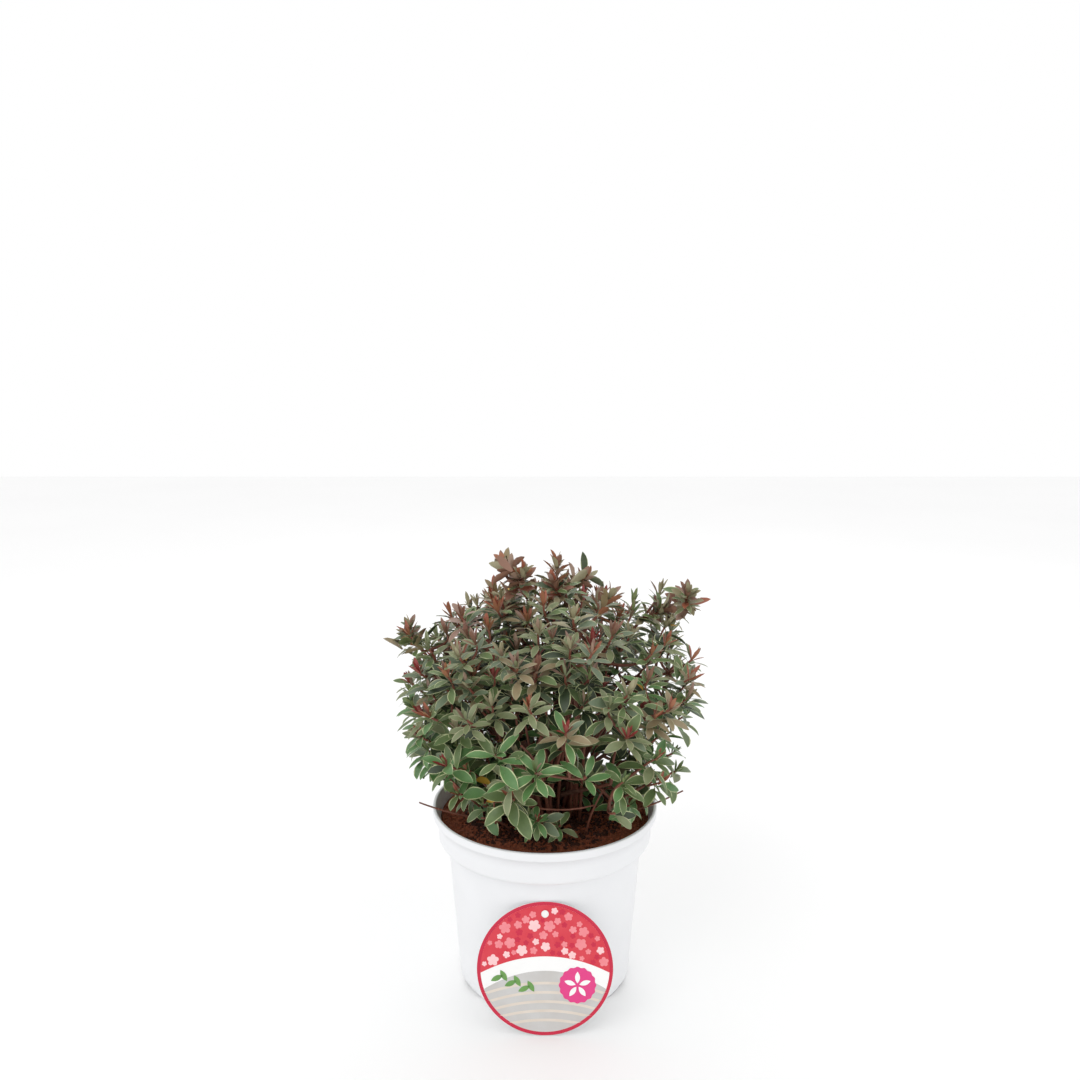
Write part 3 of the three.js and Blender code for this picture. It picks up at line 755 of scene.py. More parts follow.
def segment_distance(a: Array, b: Array, c: Array, d: Array) -> float:
    """The least distance between two straight stretches.

    Args:
        a: One end of the first.
        b: Its other end.
        c: One end of the second.
        d: Its other end.

    Returns:
        The distance.
    """
    first, second, between = b - a, d - c, a - c
    aa, ee = float(first @ first), float(second @ second)
    ff, bb, cc = float(second @ between), float(first @ second), float(first @ between)
    spread = aa * ee - bb * bb
    s = min(max((bb * ff - cc * ee) / spread, 0.0), 1.0) if spread > 1e-9 else 0.0
    t = (bb * s + ff) / ee
    if t < 0 or t > 1:
        t = min(max(t, 0.0), 1.0)
        s = min(max((bb * t - cc) / aa, 0.0), 1.0)
    return float(np.linalg.norm(a + first * s - c - second * t))


class Growth:
    """Grows the twigs of one mass, first those of its solid and then finer ones."""

    def __init__(self, crown: Crown, mass: Mass, number: int) -> None:
        """Seeds the growth as the solid's.

        Args:
            crown: The crown.
            mass: The mass.
            number: Its place in the list of masses, which its seed follows.
        """
        self.crown = crown
        self.mass = mass
        self.random = Seeded(crown.seed + number)
        self.tips: list[Array] = []
        self.joints: list[Array] = []
        self.twigs: list[Twig] = []
        self.limbs = crown.limbs()
        self.borders = crown.borders(mass)

    def emptiest(self, inset: float, under_dome: bool = False) -> Array | None:
        """The place for the next shoot's tip: the emptiest of some random places in the space.

        Args:
            inset: How far inside the space's border it lies.
            under_dome: Whether it stays under the dome, also close to a leader.

        Returns:
            The place, or None if no try fell in the space.
        """
        best, emptiest = None, -1.0
        for _ in range(self.crown.shoot_tries):
            place = np.array([self.random() - 0.5, self.random() - 0.5, self.random() - 0.5])
            place = place * (2 * self.mass.spread) + self.mass.middle()
            if not self.crown.in_space(self.mass, self.borders, place, inset):
                continue
            if under_dome and self.crown.level(place, 2 * inset) > 1:
                continue
            gaps = [float(np.linalg.norm(tip - place)) for tip in self.tips]
            worth = min([self.mass.spread, *gaps])
            worth *= self.crown.inner_worth + (1 - self.crown.inner_worth) * self.crown.level(place)
            if worth > emptiest:
                best, emptiest = place, worth
        return best

    def axis(self, tip: Array) -> Array:
        """A shoot's own direction: up and out of the crown."""
        crown = self.crown
        lift = crown.axis_lift + (tip[2] - crown.middle[2]) / (2 * crown.rise)
        out = np.array([tip[0] - crown.middle[0], tip[1] - crown.middle[1], 0]) / crown.radius
        return unit(out + np.array([0, 0, max(crown.least_lift, lift)]))

    def start_stem(self) -> Array:
        """Grows the stem from the bough's tip to the mass's heart, and returns the heart."""
        crown = self.crown
        path = crown.bough_points(self.mass)
        heading = unit(path[-1] - path[-2])
        start = path[-1] + heading * crown.gap
        heart = start + (self.mass.middle() - start) * crown.heart_share
        bend = start + heading * (float(np.linalg.norm(heart - start)) * crown.stem_bend)
        stem = Twig(start, bend, heart, crown.stem_radius, crown.twig_root, False)
        self.twigs.append(stem)
        self.joints += [stem.point(0.5), stem.point(1.0)]
        return heart

    def add_twig(self, tip: Array, root: float, end: float, shoot: bool = True) -> bool:
        """Grows a twig to a tip from the nearest joint that it can leave without touching a limb.

        Args:
            tip: Where it ends.
            root: Its radius at its root.
            end: Its radius at its tip.
            shoot: Whether it bears a shoot.

        Returns:
            Whether it grew.
        """
        crown = self.crown

        def cost(joint: Array) -> float:
            """How far a joint is from the tip, and dearer where it isn't well under it."""
            over = max(0.0, joint[2] - tip[2] + crown.least_climb)
            return float(np.linalg.norm(joint - tip)) + crown.climb_cost * over

        for source in sorted(self.joints, key=cost)[: crown.joint_tries]:
            reach = float(np.linalg.norm(tip - source))
            twig = Twig(source, tip - self.axis(tip) * (crown.twig_bend * reach), tip, root, end, shoot)
            if self.free(twig):
                self.twigs.append(twig)
                self.joints.append(twig.point(0.5))
                return True
        return False

    def free(self, twig: Twig) -> bool:
        """Whether a twig stays in its mass's space and off the limbs."""
        radius = self.crown.twig_root
        path = [twig.point(0.0), twig.point(0.5), twig.point(1.0)]
        for a, b in zip(path, path[1:]):
            if not self.crown.in_space(self.mass, self.borders, b, radius):
                return False
            for c, d, thick in self.limbs:
                if segment_distance(a, b, c, d) <= thick + radius + self.crown.clearance:
                    return False
        return True

    def grow(self) -> list[Twig]:
        """Grows the whole mass.

        Returns:
            Its twigs, the stem first.
        """
        crown, mass = self.crown, self.mass
        heart = self.start_stem()
        self.tips = [np.array(tip, float) for tip in mass.leaders]
        for _ in range(mass.shoots - len(self.tips)):
            place = self.emptiest(crown.shoot_inset)
            if place is not None:
                self.tips.append(place)
        for tip in sorted(self.tips, key=lambda place: float(np.linalg.norm(place - heart))):
            self.add_twig(tip, crown.twig_root, crown.twig_tip)
        inset, root, end = crown.fine_shares
        for _ in range(mass.fine):
            place = self.emptiest(crown.shoot_inset * inset, under_dome=True)
            if place is not None:
                self.tips.append(place)
                self.add_twig(place, crown.twig_root * root, crown.twig_tip * end)
        return [crown.with_plume(twig) for twig in self.twigs]


# Bare twigs low in the crown, by mass: where each one starts, bends and ends
BARE_TWIGS: dict[str, list[tuple[Triple, ...]]] = {
    "low_right": [
        ((60, -32, 184), (96, -42, 194), (138, -34, 213)),
        ((40, -60, 179), (42, -72, 205), (54, -80, 232)),
    ],
    "low_left": [
        ((-70, -38, 186), (-100, -46, 196), (-124, -48, 207)),
        ((-52, -30, 182), (-82, -52, 220), (-112, -66, 262)),
    ],
    "low_front_left": [
        ((-46, -58, 179), (-50, -72, 204), (-48, -86, 238)),
        ((-34, -50, 179), (-42, -72, 200), (-60, -92, 212)),
        ((-50, -62, 223), (0, -98, 214), (46, -86, 222)),
    ],
}


# The radii of a bare twig at its root and its tip
BARE_RADII = (1.3, 0.8)


def bare_twigs(mass: Mass) -> list[Twig]:
    """The bare twigs of a mass, thinner towards their tips."""
    return [
        Twig(*(np.array(point, float) for point in points), *BARE_RADII, False)
        for points in BARE_TWIGS.get(mass.name, [])
    ]


@dataclass(frozen=True)
class InnerStems:
    """Thin bare stems that rise beside the trunk into the upper masses.

    Attributes:
        crown: The crown.
        count: How many rise into each mass.
        lowest: The height of the lowest mass that has them.
        fan: How many degrees either side of the mass's bearing they stand.
        feet: The least and greatest distance of a foot from the pot's middle.
        reach: How far out they end, as shares of the mass's own distance.
        scatter: How far their ends are scattered.
        rise: How far up their bend lies, as a share of their length.
        drift: How far across it lies, as a share of their reach.
        wander: How far it is scattered.
    """

    crown: Crown
    count: int = 9
    lowest: float = 290
    fan: float = 42
    feet: Pair = (14, 44)
    reach: Pair = (0.6, 1.05)
    scatter: Pair = (-22, 14)
    rise: float = 0.5
    drift: float = 0.25
    wander: float = 8

    def grow(self, mass: Mass, chance: np.random.Generator) -> list[Twig]:
        """Grows the stems of one mass.

        Args:
            mass: The mass.
            chance: The seeded generator.

        Returns:
            The stems, or none for a low mass.
        """
        if mass.height < self.lowest:
            return []
        crown, stems = self.crown, []
        for _ in range(self.count):
            turn = math.radians(mass.bearing + chance.uniform(-self.fan, self.fan))
            flat = chance.uniform(*self.feet)
            foot = np.array([flat * math.cos(turn), flat * math.sin(turn), crown.pot.soil_top])
            end = mass.middle() * np.array([*chance.uniform(*self.reach, 2), 1])
            end = end + chance.uniform(*self.scatter, 3)
            bend = foot + np.array([0, 0, 1]) * (float(np.linalg.norm(end - foot)) * self.rise)
            bend[:2] += (end - foot)[:2] * self.drift + chance.uniform(-self.wander, self.wander, 2)
            stems.append(Twig(foot, bend, end, crown.twig_root, crown.twig_tip, False))
        return stems


# ---------------- leaves


@dataclass(frozen=True)
class LeafShape:
    """The outline of a kind of leaf, as stations along its rib.

    Attributes:
        stations: How far along the rib each one is, from 0 to 1.
        widths: The leaf's width there, as a share of its greatest.
        margin: Where the pale margin starts, as a share of the half width; 0 for a leaf with none.
    """

    stations: tuple[float, ...]
    widths: tuple[float, ...]
    margin: float

    def columns(self) -> int:
        """How many vertices lie across the leaf."""
        return 5 if self.margin else 3


MATURE = LeafShape(
    (0, 0.08, 0.2, 0.36, 0.53, 0.69, 0.83, 0.94, 1),
    (0.09, 0.14, 0.5, 0.85, 1, 0.93, 0.68, 0.33, 0.05),
    0.87,
)
YOUNG = LeafShape((0, 0.3, 0.62, 0.86, 1), (0.3, 0.8, 1, 0.62, 0.08), 0)

# The least bend of a leaf, how far its pale margin's inner edge wanders, and how far its edge waves
LEAST_BEND = 0.02
MARGIN_WANDER = (-0.1, 0.08)
LEAF_WAVE = 0.06


@dataclass(frozen=True)
class Blade:
    """One leaf: where it is, which way it points, and its form.

    Attributes:
        root: Where its stalk starts.
        along: The way its rib sets out.
        normal: The way its upper side faces there.
        length: Its length.
        width: Its greatest width.
        bend: How far its rib turns down over its length, in radians.
        fold: How far its halves fold up from the rib, in radians.
        kind: Its colour.
    """

    root: Array
    along: Array
    normal: Array
    length: float
    width: float
    bend: float
    fold: float
    kind: Leaf


def blade_arrays(shape: LeafShape, blades: Sequence[Blade], chance: np.random.Generator) -> MeshArrays:
    """The joined mesh arrays of many leaves of one shape.

    Args:
        shape: Their outline.
        blades: The leaves.
        chance: The seeded generator for their small differences.

    Returns:
        Vertices, faces of four, and each face's material number.
    """
    count, steps, columns = len(blades), len(shape.stations), shape.columns()
    t = np.array(shape.stations)[None, :]
    bend = np.array([max(abs(b.bend), LEAST_BEND) * (1 if b.bend >= 0 else -1) for b in blades])[:, None]
    length = np.array([b.length for b in blades])[:, None]
    half = np.array([b.width for b in blades])[:, None] * np.array(shape.widths)[None, :] / 2
    fold = np.array([b.fold for b in blades])[:, None]
    root = np.array([b.root for b in blades])[:, None, :]
    along = np.array([b.along for b in blades])[:, None, :]
    normal = np.array([b.normal for b in blades])[:, None, :]
    across = np.cross(normal, along)
    forward = (length * np.sin(bend * t) / bend)[..., None]
    down = (length * (1 - np.cos(bend * t)) / bend)[..., None]
    rib = root + along * forward - normal * down
    upper = normal * np.cos(bend * t)[..., None] + along * np.sin(bend * t)[..., None]
    places = np.ones((count, steps, columns))
    places[..., 0], places[..., -1], places[..., columns // 2] = -1, 1, 0
    if shape.margin:
        wander = chance.uniform(*MARGIN_WANDER, (count, steps, 2))
        places[..., 1] = -shape.margin - wander[..., 0]
        places[..., 3] = shape.margin + wander[..., 1]
    wave = chance.uniform(-LEAF_WAVE, LEAF_WAVE, (count, steps, 1)) * half[..., None]
    side = places * half[..., None]
    lift = np.abs(side) * np.sin(fold)[..., None] + wave * np.abs(places)
    points = (
        rib[:, :, None, :]
        + across[:, :, None, :] * (side * np.cos(fold)[..., None])[..., None]
        + upper[:, :, None, :] * lift[..., None]
    )
    step, column = np.meshgrid(np.arange(steps - 1), np.arange(columns - 1), indexing="ij")
    first = (step * columns + column).reshape(-1)
    one = np.stack([first, first + columns, first + columns + 1, first + 1], axis=-1)
    quads = (one[None] + (np.arange(count) * steps * columns)[:, None, None]).reshape(-1, 4)
    own = np.array([b.kind.value for b in blades])
    slots = np.repeat(own[:, None], len(first), axis=1)
    if shape.margin:
        edges = np.array([EDGE_OF.get(b.kind, b.kind).value for b in blades])
        outer = np.isin(column.reshape(-1), (0, columns - 2))
        slots[:, outer] = edges[:, None]
    return points.reshape(-1, 3), quads, slots.reshape(-1)


def join_arrays(parts: Sequence[MeshArrays]) -> MeshArrays:
    """Puts several sets of mesh arrays in one.

    Args:
        parts: Vertices, faces and material numbers of each.

    Returns:
        The same of all of them.
    """
    points, quads, slots, start = [], [], [], 0
    for own_points, own_quads, own_slots in parts:
        points.append(own_points)
        quads.append(own_quads + start)
        slots.append(own_slots)
        start += len(own_points)
    return np.concatenate(points), np.concatenate(quads), np.concatenate(slots)


# The colours of whorls, by the height that each row starts from
SPRAY_COLOURS = (
    (372, (Leaf.STRAW, Leaf.BRONZE, Leaf.SAGE, Leaf.STRAW, Leaf.SLATE)),
    (300, (Leaf.SAGE, Leaf.SLATE, Leaf.SAGE, Leaf.BRONZE, Leaf.BRONZE, Leaf.MOSS)),
    (238, (Leaf.SAGE, Leaf.MOSS, Leaf.MOSS, Leaf.GREEN, Leaf.GREEN)),
    (-math.inf, (Leaf.MOSS, Leaf.GREEN, Leaf.GREEN, Leaf.GREEN)),
)

# The colours of leaves that differ from their whorl, high and low in the crown, and of the others
ODD_HIGH = (Leaf.SAGE, Leaf.SLATE, Leaf.MOSS)
ODD_LOW = (Leaf.MOSS, Leaf.SAGE, Leaf.GREEN)
# The older leaves along the twigs inside the crown are mostly the dark colour that paints shade
STRAY_COLOURS = (Leaf.PAINTED_SHADE, Leaf.MOSS, Leaf.PAINTED_SHADE, Leaf.SLATE)
TUFT_COLOURS = (Leaf.RUST, Leaf.RUST, Leaf.CRIMSON, Leaf.UMBER, Leaf.STRAW, Leaf.SAGE)
PLUME_COLOURS = (Leaf.RUST, Leaf.UMBER, Leaf.UMBER, Leaf.BRONZE, Leaf.STRAW, Leaf.STRAW, Leaf.BLUSH)


@dataclass
class Foliage:
    """Dresses one mass: tapered tubes for its twigs, and a whorl and a tuft or a plume on each shoot.

    A pair is the least and greatest of what varies, unless the note over it says otherwise.

    Attributes:
        crown: The crown.
        mass: The mass.
        twigs: The mass's twigs.
        chance: The seeded generator of all that varies.
    """

    crown: Crown
    mass: Mass
    twigs: list[Twig]
    chance: np.random.Generator

    # A whorl: how many leaves it has, how many more high up, its size, the angles of its lowest and its
    # highest leaf from the shoot, how far these vary, and the distance between two leaves
    whorl: tuple[int, int] = (7, 9)
    whorl_more: int = 2
    whorl_sizes: Pair = (0.82, 1.08)
    spread: Pair = (84, 50)
    spread_scatter: float = 9
    turn_scatter: float = 0.15
    spacing: float = 1.7

    # A grown leaf: its length, its width as a share of that, how both vary, how much shorter the
    # uppermost one is, its bend, fold and roll, how far from the shoot's axis it starts, and the sizes
    # that are tried until it fits
    leaf_length: float = 33
    leaf_ratio: float = 0.37
    lengths: Pair = (0.88, 1.08)
    widths: Pair = (0.88, 1.12)
    upper_shorter: float = 0.22
    bend: Pair = (0.25, 0.75)
    fold: Pair = (0.12, 0.34)
    roll: float = 0.16
    stalk: float = 0.8
    sizes: tuple[float, ...] = (1, 0.85, 0.7)

    # The heights where leaves are largest and smallest, the largest size and how much less the other is;
    # then the heights where leaves begin to droop and droop most, how much wider from the shoot and more
    # bent they are there, and their width high up and how much more it is there
    grade: Pair = (240, 370)
    grade_sizes: Pair = (1.05, 0.3)
    droop: Pair = (300, 210)
    droop_degrees: float = 14
    droop_bend: float = 0.35
    droop_widths: Pair = (0.9, 0.25)

    # Smaller whorls: under which height on the mix and how small, and how small under a plume
    nook_height: float = 216
    nook_size: float = 0.66
    plume_size: float = 0.7

    # The share of leaves that differ from their whorl and the height where what they differ to changes,
    # the share of leaves that have turned and their size, and how far colours scatter and drop inside
    odd_share: float = 0.24
    odd_from: float = 310
    gold_share: float = 0.007
    gold_size: float = 0.7
    colour_scatter: float = 22
    colour_drop: float = 70

    # How deep in the crown whorls take the dark leaf colour of painted shade and the share of them that do,
    # and the share of high whorls that are pink and the height that they start from
    shade_depth: float = 0.62
    shade_share: float = 0.75
    blush_share: float = 0.04
    blush_from: float = 335

    # A tuft of young leaves: their length and their width as a share of that, how many there are, the
    # lowest one's angle and how much less the highest one's is, how far it varies, the heights where tufts
    # are smallest and largest, then low down and how much more high up their size and the share of them
    # in a young colour, the share of leaves in the tuft's own colour, and the distance between two
    young_length: Pair = (12, 20)
    young_ratio: float = 0.25
    tuft: tuple[int, int] = (5, 8)
    tuft_spread: Pair = (44, 36)
    tuft_scatter: float = 5
    tuft_grade: Pair = (215, 335)
    tuft_sizes: Pair = (0.7, 0.3)
    tuft_shares: Pair = (0.25, 0.7)
    tuft_alike: float = 0.8
    tuft_spacing: float = 0.4

    # A plume: its number of leaves, how far down the shoot they go, their angles as for a tuft, their
    # size at its foot and how much less it is at its tip, and how much wider they are than a tuft's
    plume: tuple[int, int] = (15, 22)
    plume_length: float = 26
    plume_spread: Pair = (68, 56)
    plume_scatter: float = 8
    plume_sizes: Pair = (1.3, 0.35)
    plume_wider: float = 1.6

    # Older leaves along a twig: what their number stays under, their places along it, their sizes, angles,
    # bend and fold, how far from its axis they start, and the share that have turned
    strays: float = 4.2
    stray_places: Pair = (0.45, 0.85)
    stray_sizes: Pair = (0.6, 0.95)
    stray_spread: Pair = (50, 85)
    stray_bend: Pair = (0.3, 0.9)
    stray_fold: Pair = (0.1, 0.3)
    stray_stalk: float = 1.2
    stray_gold: float = 0.02

    # The vertices round a twig and the stretches along it
    tube_sides: int = 6
    tube_steps: int = 8

    def spray_colour(self, tip: Array) -> Leaf:
        """The colour of a whorl: bronzed at the top, grey-green round the sides, greener low and inside,
        painted shade deep in.

        Args:
            tip: The shoot's tip.

        Returns:
            The colour of most of its leaves.
        """
        depth = 1 - min(1.0, self.crown.level(tip))
        height = tip[2] + self.chance.normal(0, self.colour_scatter) - self.colour_drop * depth
        draw = self.chance.random()
        # Deep in the crown most whorls take the dark leaf colour that paints shade
        if depth > self.shade_depth and draw < self.shade_share:
            return Leaf.PAINTED_SHADE
        if draw < self.blush_share and tip[2] > self.blush_from:
            return Leaf.BLUSH
        row = next(colours for least, colours in SPRAY_COLOURS if height > least)
        return row[int(draw * len(row))]

    @staticmethod
    def graded(height: float, band: Pair) -> float:
        """How far a height is from a band's first edge to its second, from 0 to 1."""
        return max(0.0, min(1.0, (height - band[0]) / (band[1] - band[0])))

    def frame(self, axis: Array) -> tuple[Array, Array]:
        """Two directions square to a shoot's axis and to each other."""
        helper = np.array([1.0, 0, 0]) if abs(axis[0]) < 0.8 else np.array([0, 1.0, 0])
        side = unit(np.cross(axis, helper))
        return side, np.cross(axis, side)

    def blade(self, root: Array, axis: Array, out: Array, spread: float, size: Pair,
              form: Pair, kind: Leaf) -> Blade:
        """A leaf that leaves a shoot.

        Args:
            root: Where its stalk starts.
            axis: The shoot's direction.
            out: The side of the shoot that it is on.
            spread: Its angle from the shoot, in radians.
            size: Its length and its width as a share of that.
            form: Its bend and fold.
            kind: Its colour.

        Returns:
            The leaf.
        """
        along = out * math.sin(spread) + axis * math.cos(spread)
        normal = unit(axis - along * float(axis @ along)) if spread > 0.05 else -out
        roll = self.chance.normal(0, self.roll)
        normal = normal * math.cos(roll) + np.cross(along, normal) * math.sin(roll)
        return Blade(root, along, normal, size[0], size[0] * size[1], form[0], form[1], kind)

    def fits(self, blade: Blade) -> bool:
        """Whether a leaf's middle and tip stay in the crown and over the pot."""
        turn = blade.bend
        flat, drop = math.sin(turn) / turn, (1 - math.cos(turn)) / turn
        tip = blade.root + (blade.along * flat - blade.normal * drop) * blade.length
        if self.mass.tier and self.crown.in_clearing(tip):
            return False
        return all(self.crown.in_crown(self.mass, p, 0) for p in (tip, (tip + blade.root) / 2))

    def whorl_of(self, twig: Twig) -> list[Blade]:
        """The grown leaves round the end of a shoot, wound by the golden angle."""
        draw = self.chance.uniform
        axis = unit(unit(twig.tip - twig.point(0.9)) + np.array([0, 0, 0.7]))
        side, across = self.frame(axis)
        colour = self.spray_colour(twig.tip)
        low = self.graded(twig.tip[2], self.droop)
        high = self.graded(twig.tip[2], self.grade)
        size = self.leaf_length * draw(*self.whorl_sizes)
        size *= self.grade_sizes[0] - self.grade_sizes[1] * high
        count = int(self.chance.integers(self.whorl[0], self.whorl[1] + 1) + round(self.whorl_more * high))
        size *= self.nook_size if twig.tip[2] < self.nook_height and not self.mass.tier else 1
        size *= self.plume_size if twig.plume else 1
        ratio = self.leaf_ratio * (self.droop_widths[0] + self.droop_widths[1] * low)
        first = draw(0, 2 * math.pi)
        leaves = []
        for i in range(count):
            share = i / (count - 1)
            turn = first + i * GOLDEN_ANGLE + draw(-self.turn_scatter, self.turn_scatter)
            out = side * math.cos(turn) + across * math.sin(turn)
            degrees = self.spread[0] + (self.spread[1] - self.spread[0]) * share
            degrees += self.droop_degrees * low + draw(-self.spread_scatter, self.spread_scatter)
            root = twig.tip - axis * (1 + (count - 1 - i) * self.spacing) + out * self.stalk
            kind = Leaf.GOLD if draw(0, 1) < self.gold_share else colour
            part = self.gold_size if kind is Leaf.GOLD else 1
            if kind is colour and draw(0, 1) < self.odd_share:
                odd = ODD_HIGH if root[2] > self.odd_from else ODD_LOW
                kind = odd[int(draw(0, len(odd)))]
            form = (draw(*self.bend) + self.droop_bend * low, draw(*self.fold))
            for scale in self.sizes:
                length = size * scale * part * draw(*self.lengths) * (1 - self.upper_shorter * share)
                leaf_size = (length, ratio * draw(*self.widths))
                leaf = self.blade(root, axis, out, math.radians(degrees), leaf_size, form, kind)
                if self.fits(leaf):
                    leaves.append(leaf)
                    break
        return leaves

    def plume_of(self, twig: Twig) -> list[Blade]:
        """The many small leaves up the end of a shoot that stands out of the crown."""
        draw = self.chance.uniform
        count = int(self.chance.integers(self.plume[0], self.plume[1] + 1))
        first = draw(0, 2 * math.pi)
        length = float(np.linalg.norm(twig.tip - twig.start))
        leaves = []
        for i in range(count):
            share = i / (count - 1)
            place = 1 - (1 - share) * self.plume_length / length
            root = twig.point(place)
            axis = unit(twig.tip - twig.point(place - 0.08))
            side, across = self.frame(axis)
            turn = first + i * GOLDEN_ANGLE
            out = side * math.cos(turn) + across * math.sin(turn)
            degrees = self.plume_spread[0] - self.plume_spread[1] * share
            degrees += draw(-self.plume_scatter, self.plume_scatter)
            kind = PLUME_COLOURS[int(draw(0, len(PLUME_COLOURS)))]
            size = draw(*self.young_length) * (self.plume_sizes[0] - self.plume_sizes[1] * share)
            form = (draw(0.1, 0.6), draw(0.2, 0.5))
            leaf_size = (size, self.young_ratio * self.plume_wider)
            root = root + out * self.stalk
            leaves.append(self.blade(root, axis, out, math.radians(degrees), leaf_size, form, kind))
        return leaves

    def tuft_of(self, twig: Twig) -> list[Blade]:
        """The narrow, upright young leaves at a shoot's tip."""
        draw = self.chance.uniform
        axis = unit(unit(twig.tip - twig.point(0.9)) + np.array([0, 0, 0.9]))
        side, across = self.frame(axis)
        high = self.graded(twig.tip[2], self.tuft_grade)
        kind = TUFT_COLOURS[int(draw(0, len(TUFT_COLOURS)))]
        if draw(0, 1) > self.tuft_shares[0] + self.tuft_shares[1] * high:
            kind = Leaf.MOSS
        count = int(self.chance.integers(self.tuft[0], self.tuft[1] + 1))
        first = draw(0, 2 * math.pi)
        leaves = []
        for i in range(count):
            turn = first + i * GOLDEN_ANGLE
            out = side * math.cos(turn) + across * math.sin(turn)
            degrees = self.tuft_spread[0] - self.tuft_spread[1] * i / (count - 1)
            degrees += draw(-self.tuft_scatter, self.tuft_scatter)
            length = draw(*self.young_length) * (self.tuft_sizes[0] + self.tuft_sizes[1] * high)
            other = Leaf.BLUSH if high > 0.5 else Leaf.MOSS
            own = kind if draw(0, 1) < self.tuft_alike else other
            root = twig.tip - axis * (count - i) * self.tuft_spacing
            form = (draw(-0.3, 0.25), draw(0.25, 0.5))
            leaf = self.blade(root, axis, out, math.radians(degrees), (length, self.young_ratio), form, own)
            if not self.crown.in_clearing(leaf.root):
                leaves.append(leaf)
        return leaves

    def strays_of(self, twig: Twig) -> list[Blade]:
        """A few older leaves along a twig under its whorl."""
        draw = self.chance.uniform
        leaves = []
        for _ in range(int(draw(0, self.strays))):
            share = draw(*self.stray_places)
            root = twig.point(share)
            axis = unit(twig.point(share + 0.05) - root)
            side, across = self.frame(axis)
            turn = draw(0, 2 * math.pi)
            out = side * math.cos(turn) + across * math.sin(turn)
            colour = STRAY_COLOURS[int(draw(0, len(STRAY_COLOURS)))]
            if draw(0, 1) < self.stray_gold:
                colour = Leaf.GOLD
            spread = math.radians(draw(*self.stray_spread))
            size = (self.leaf_length * draw(*self.stray_sizes), self.leaf_ratio)
            form = (draw(*self.stray_bend), draw(*self.stray_fold))
            leaf = self.blade(root + out * self.stray_stalk, axis, out, spread, size, form, colour)
            if self.fits(leaf):
                leaves.append(leaf)
        return leaves

    def leaf_mesh(self) -> bpy.types.Mesh:
        """All the mass's leaves, joined."""
        grown, young = [], []
        for twig in self.twigs:
            if twig.shoot:
                grown += self.whorl_of(twig) + self.strays_of(twig)
                young += self.plume_of(twig) if twig.plume else self.tuft_of(twig)
        parts = [blade_arrays(MATURE, grown, self.chance), blade_arrays(YOUNG, young, self.chance)]
        log.info("%s: %d grown leaves, %d young ones", self.mass.name, len(grown), len(young))
        return mesh_from_arrays(*join_arrays(parts))

    def twig_mesh(self) -> bpy.types.Mesh:
        """All the mass's twigs, joined."""
        tubes = [tube_arrays(twig, self.tube_sides, self.tube_steps) for twig in self.twigs]
        return mesh_from_arrays(*join_arrays(tubes))


# How far along a shoot its bark is young
YOUNG_BARK_FROM = 0.72


def tube_arrays(twig: Twig, sides: int, steps: int) -> MeshArrays:
    """A tapered tube along a twig, closed at both ends.

    Args:
        twig: The twig.
        sides: Vertices round the tube.
        steps: Stretches along it.

    Returns:
        Vertices, faces of four, and each face's material number: 1 near the tip of a shoot, else 0.
    """
    shares = np.linspace(0, 1, steps + 1)
    path = np.array([twig.point(s) for s in shares])
    heading = unit(np.gradient(path, axis=0))
    helper = np.array([1.0, 0, 0]) if abs(heading[0][0]) < 0.7 else np.array([0, 1.0, 0])
    side = unit(np.cross(heading, helper))
    across = np.cross(heading, side)
    radii = twig.root_radius + (twig.tip_radius - twig.root_radius) * shares
    turns = 2 * np.pi * np.arange(sides) / sides
    spokes = side[:, None, :] * np.cos(turns)[None, :, None]
    spokes = spokes + across[:, None, :] * np.sin(turns)[None, :, None]
    rings = path[:, None, :] + spokes * radii[:, None, None]
    first = np.arange(steps)[:, None] * sides
    this, after = np.arange(sides)[None, :], (np.arange(sides)[None, :] + 1) % sides
    corners = [first + this, first + after, first + sides + after, first + sides + this]
    quads = np.stack(corners, axis=-1).reshape(-1, 4)
    top = steps * sides
    fan = np.array([[0, k, k + 1, k + 2] for k in range(1, sides - 2, 2)])
    caps, ends = fan[:, ::-1], fan + top
    slots = np.repeat((shares[:-1] > YOUNG_BARK_FROM) & twig.shoot, sides).astype(int)
    extra = np.concatenate([np.zeros(len(caps), int), np.full(len(ends), int(twig.shoot))])
    return rings.reshape(-1, 3), np.concatenate([quads, caps, ends]), np.concatenate([slots, extra])


# ---------------- trunk and boughs


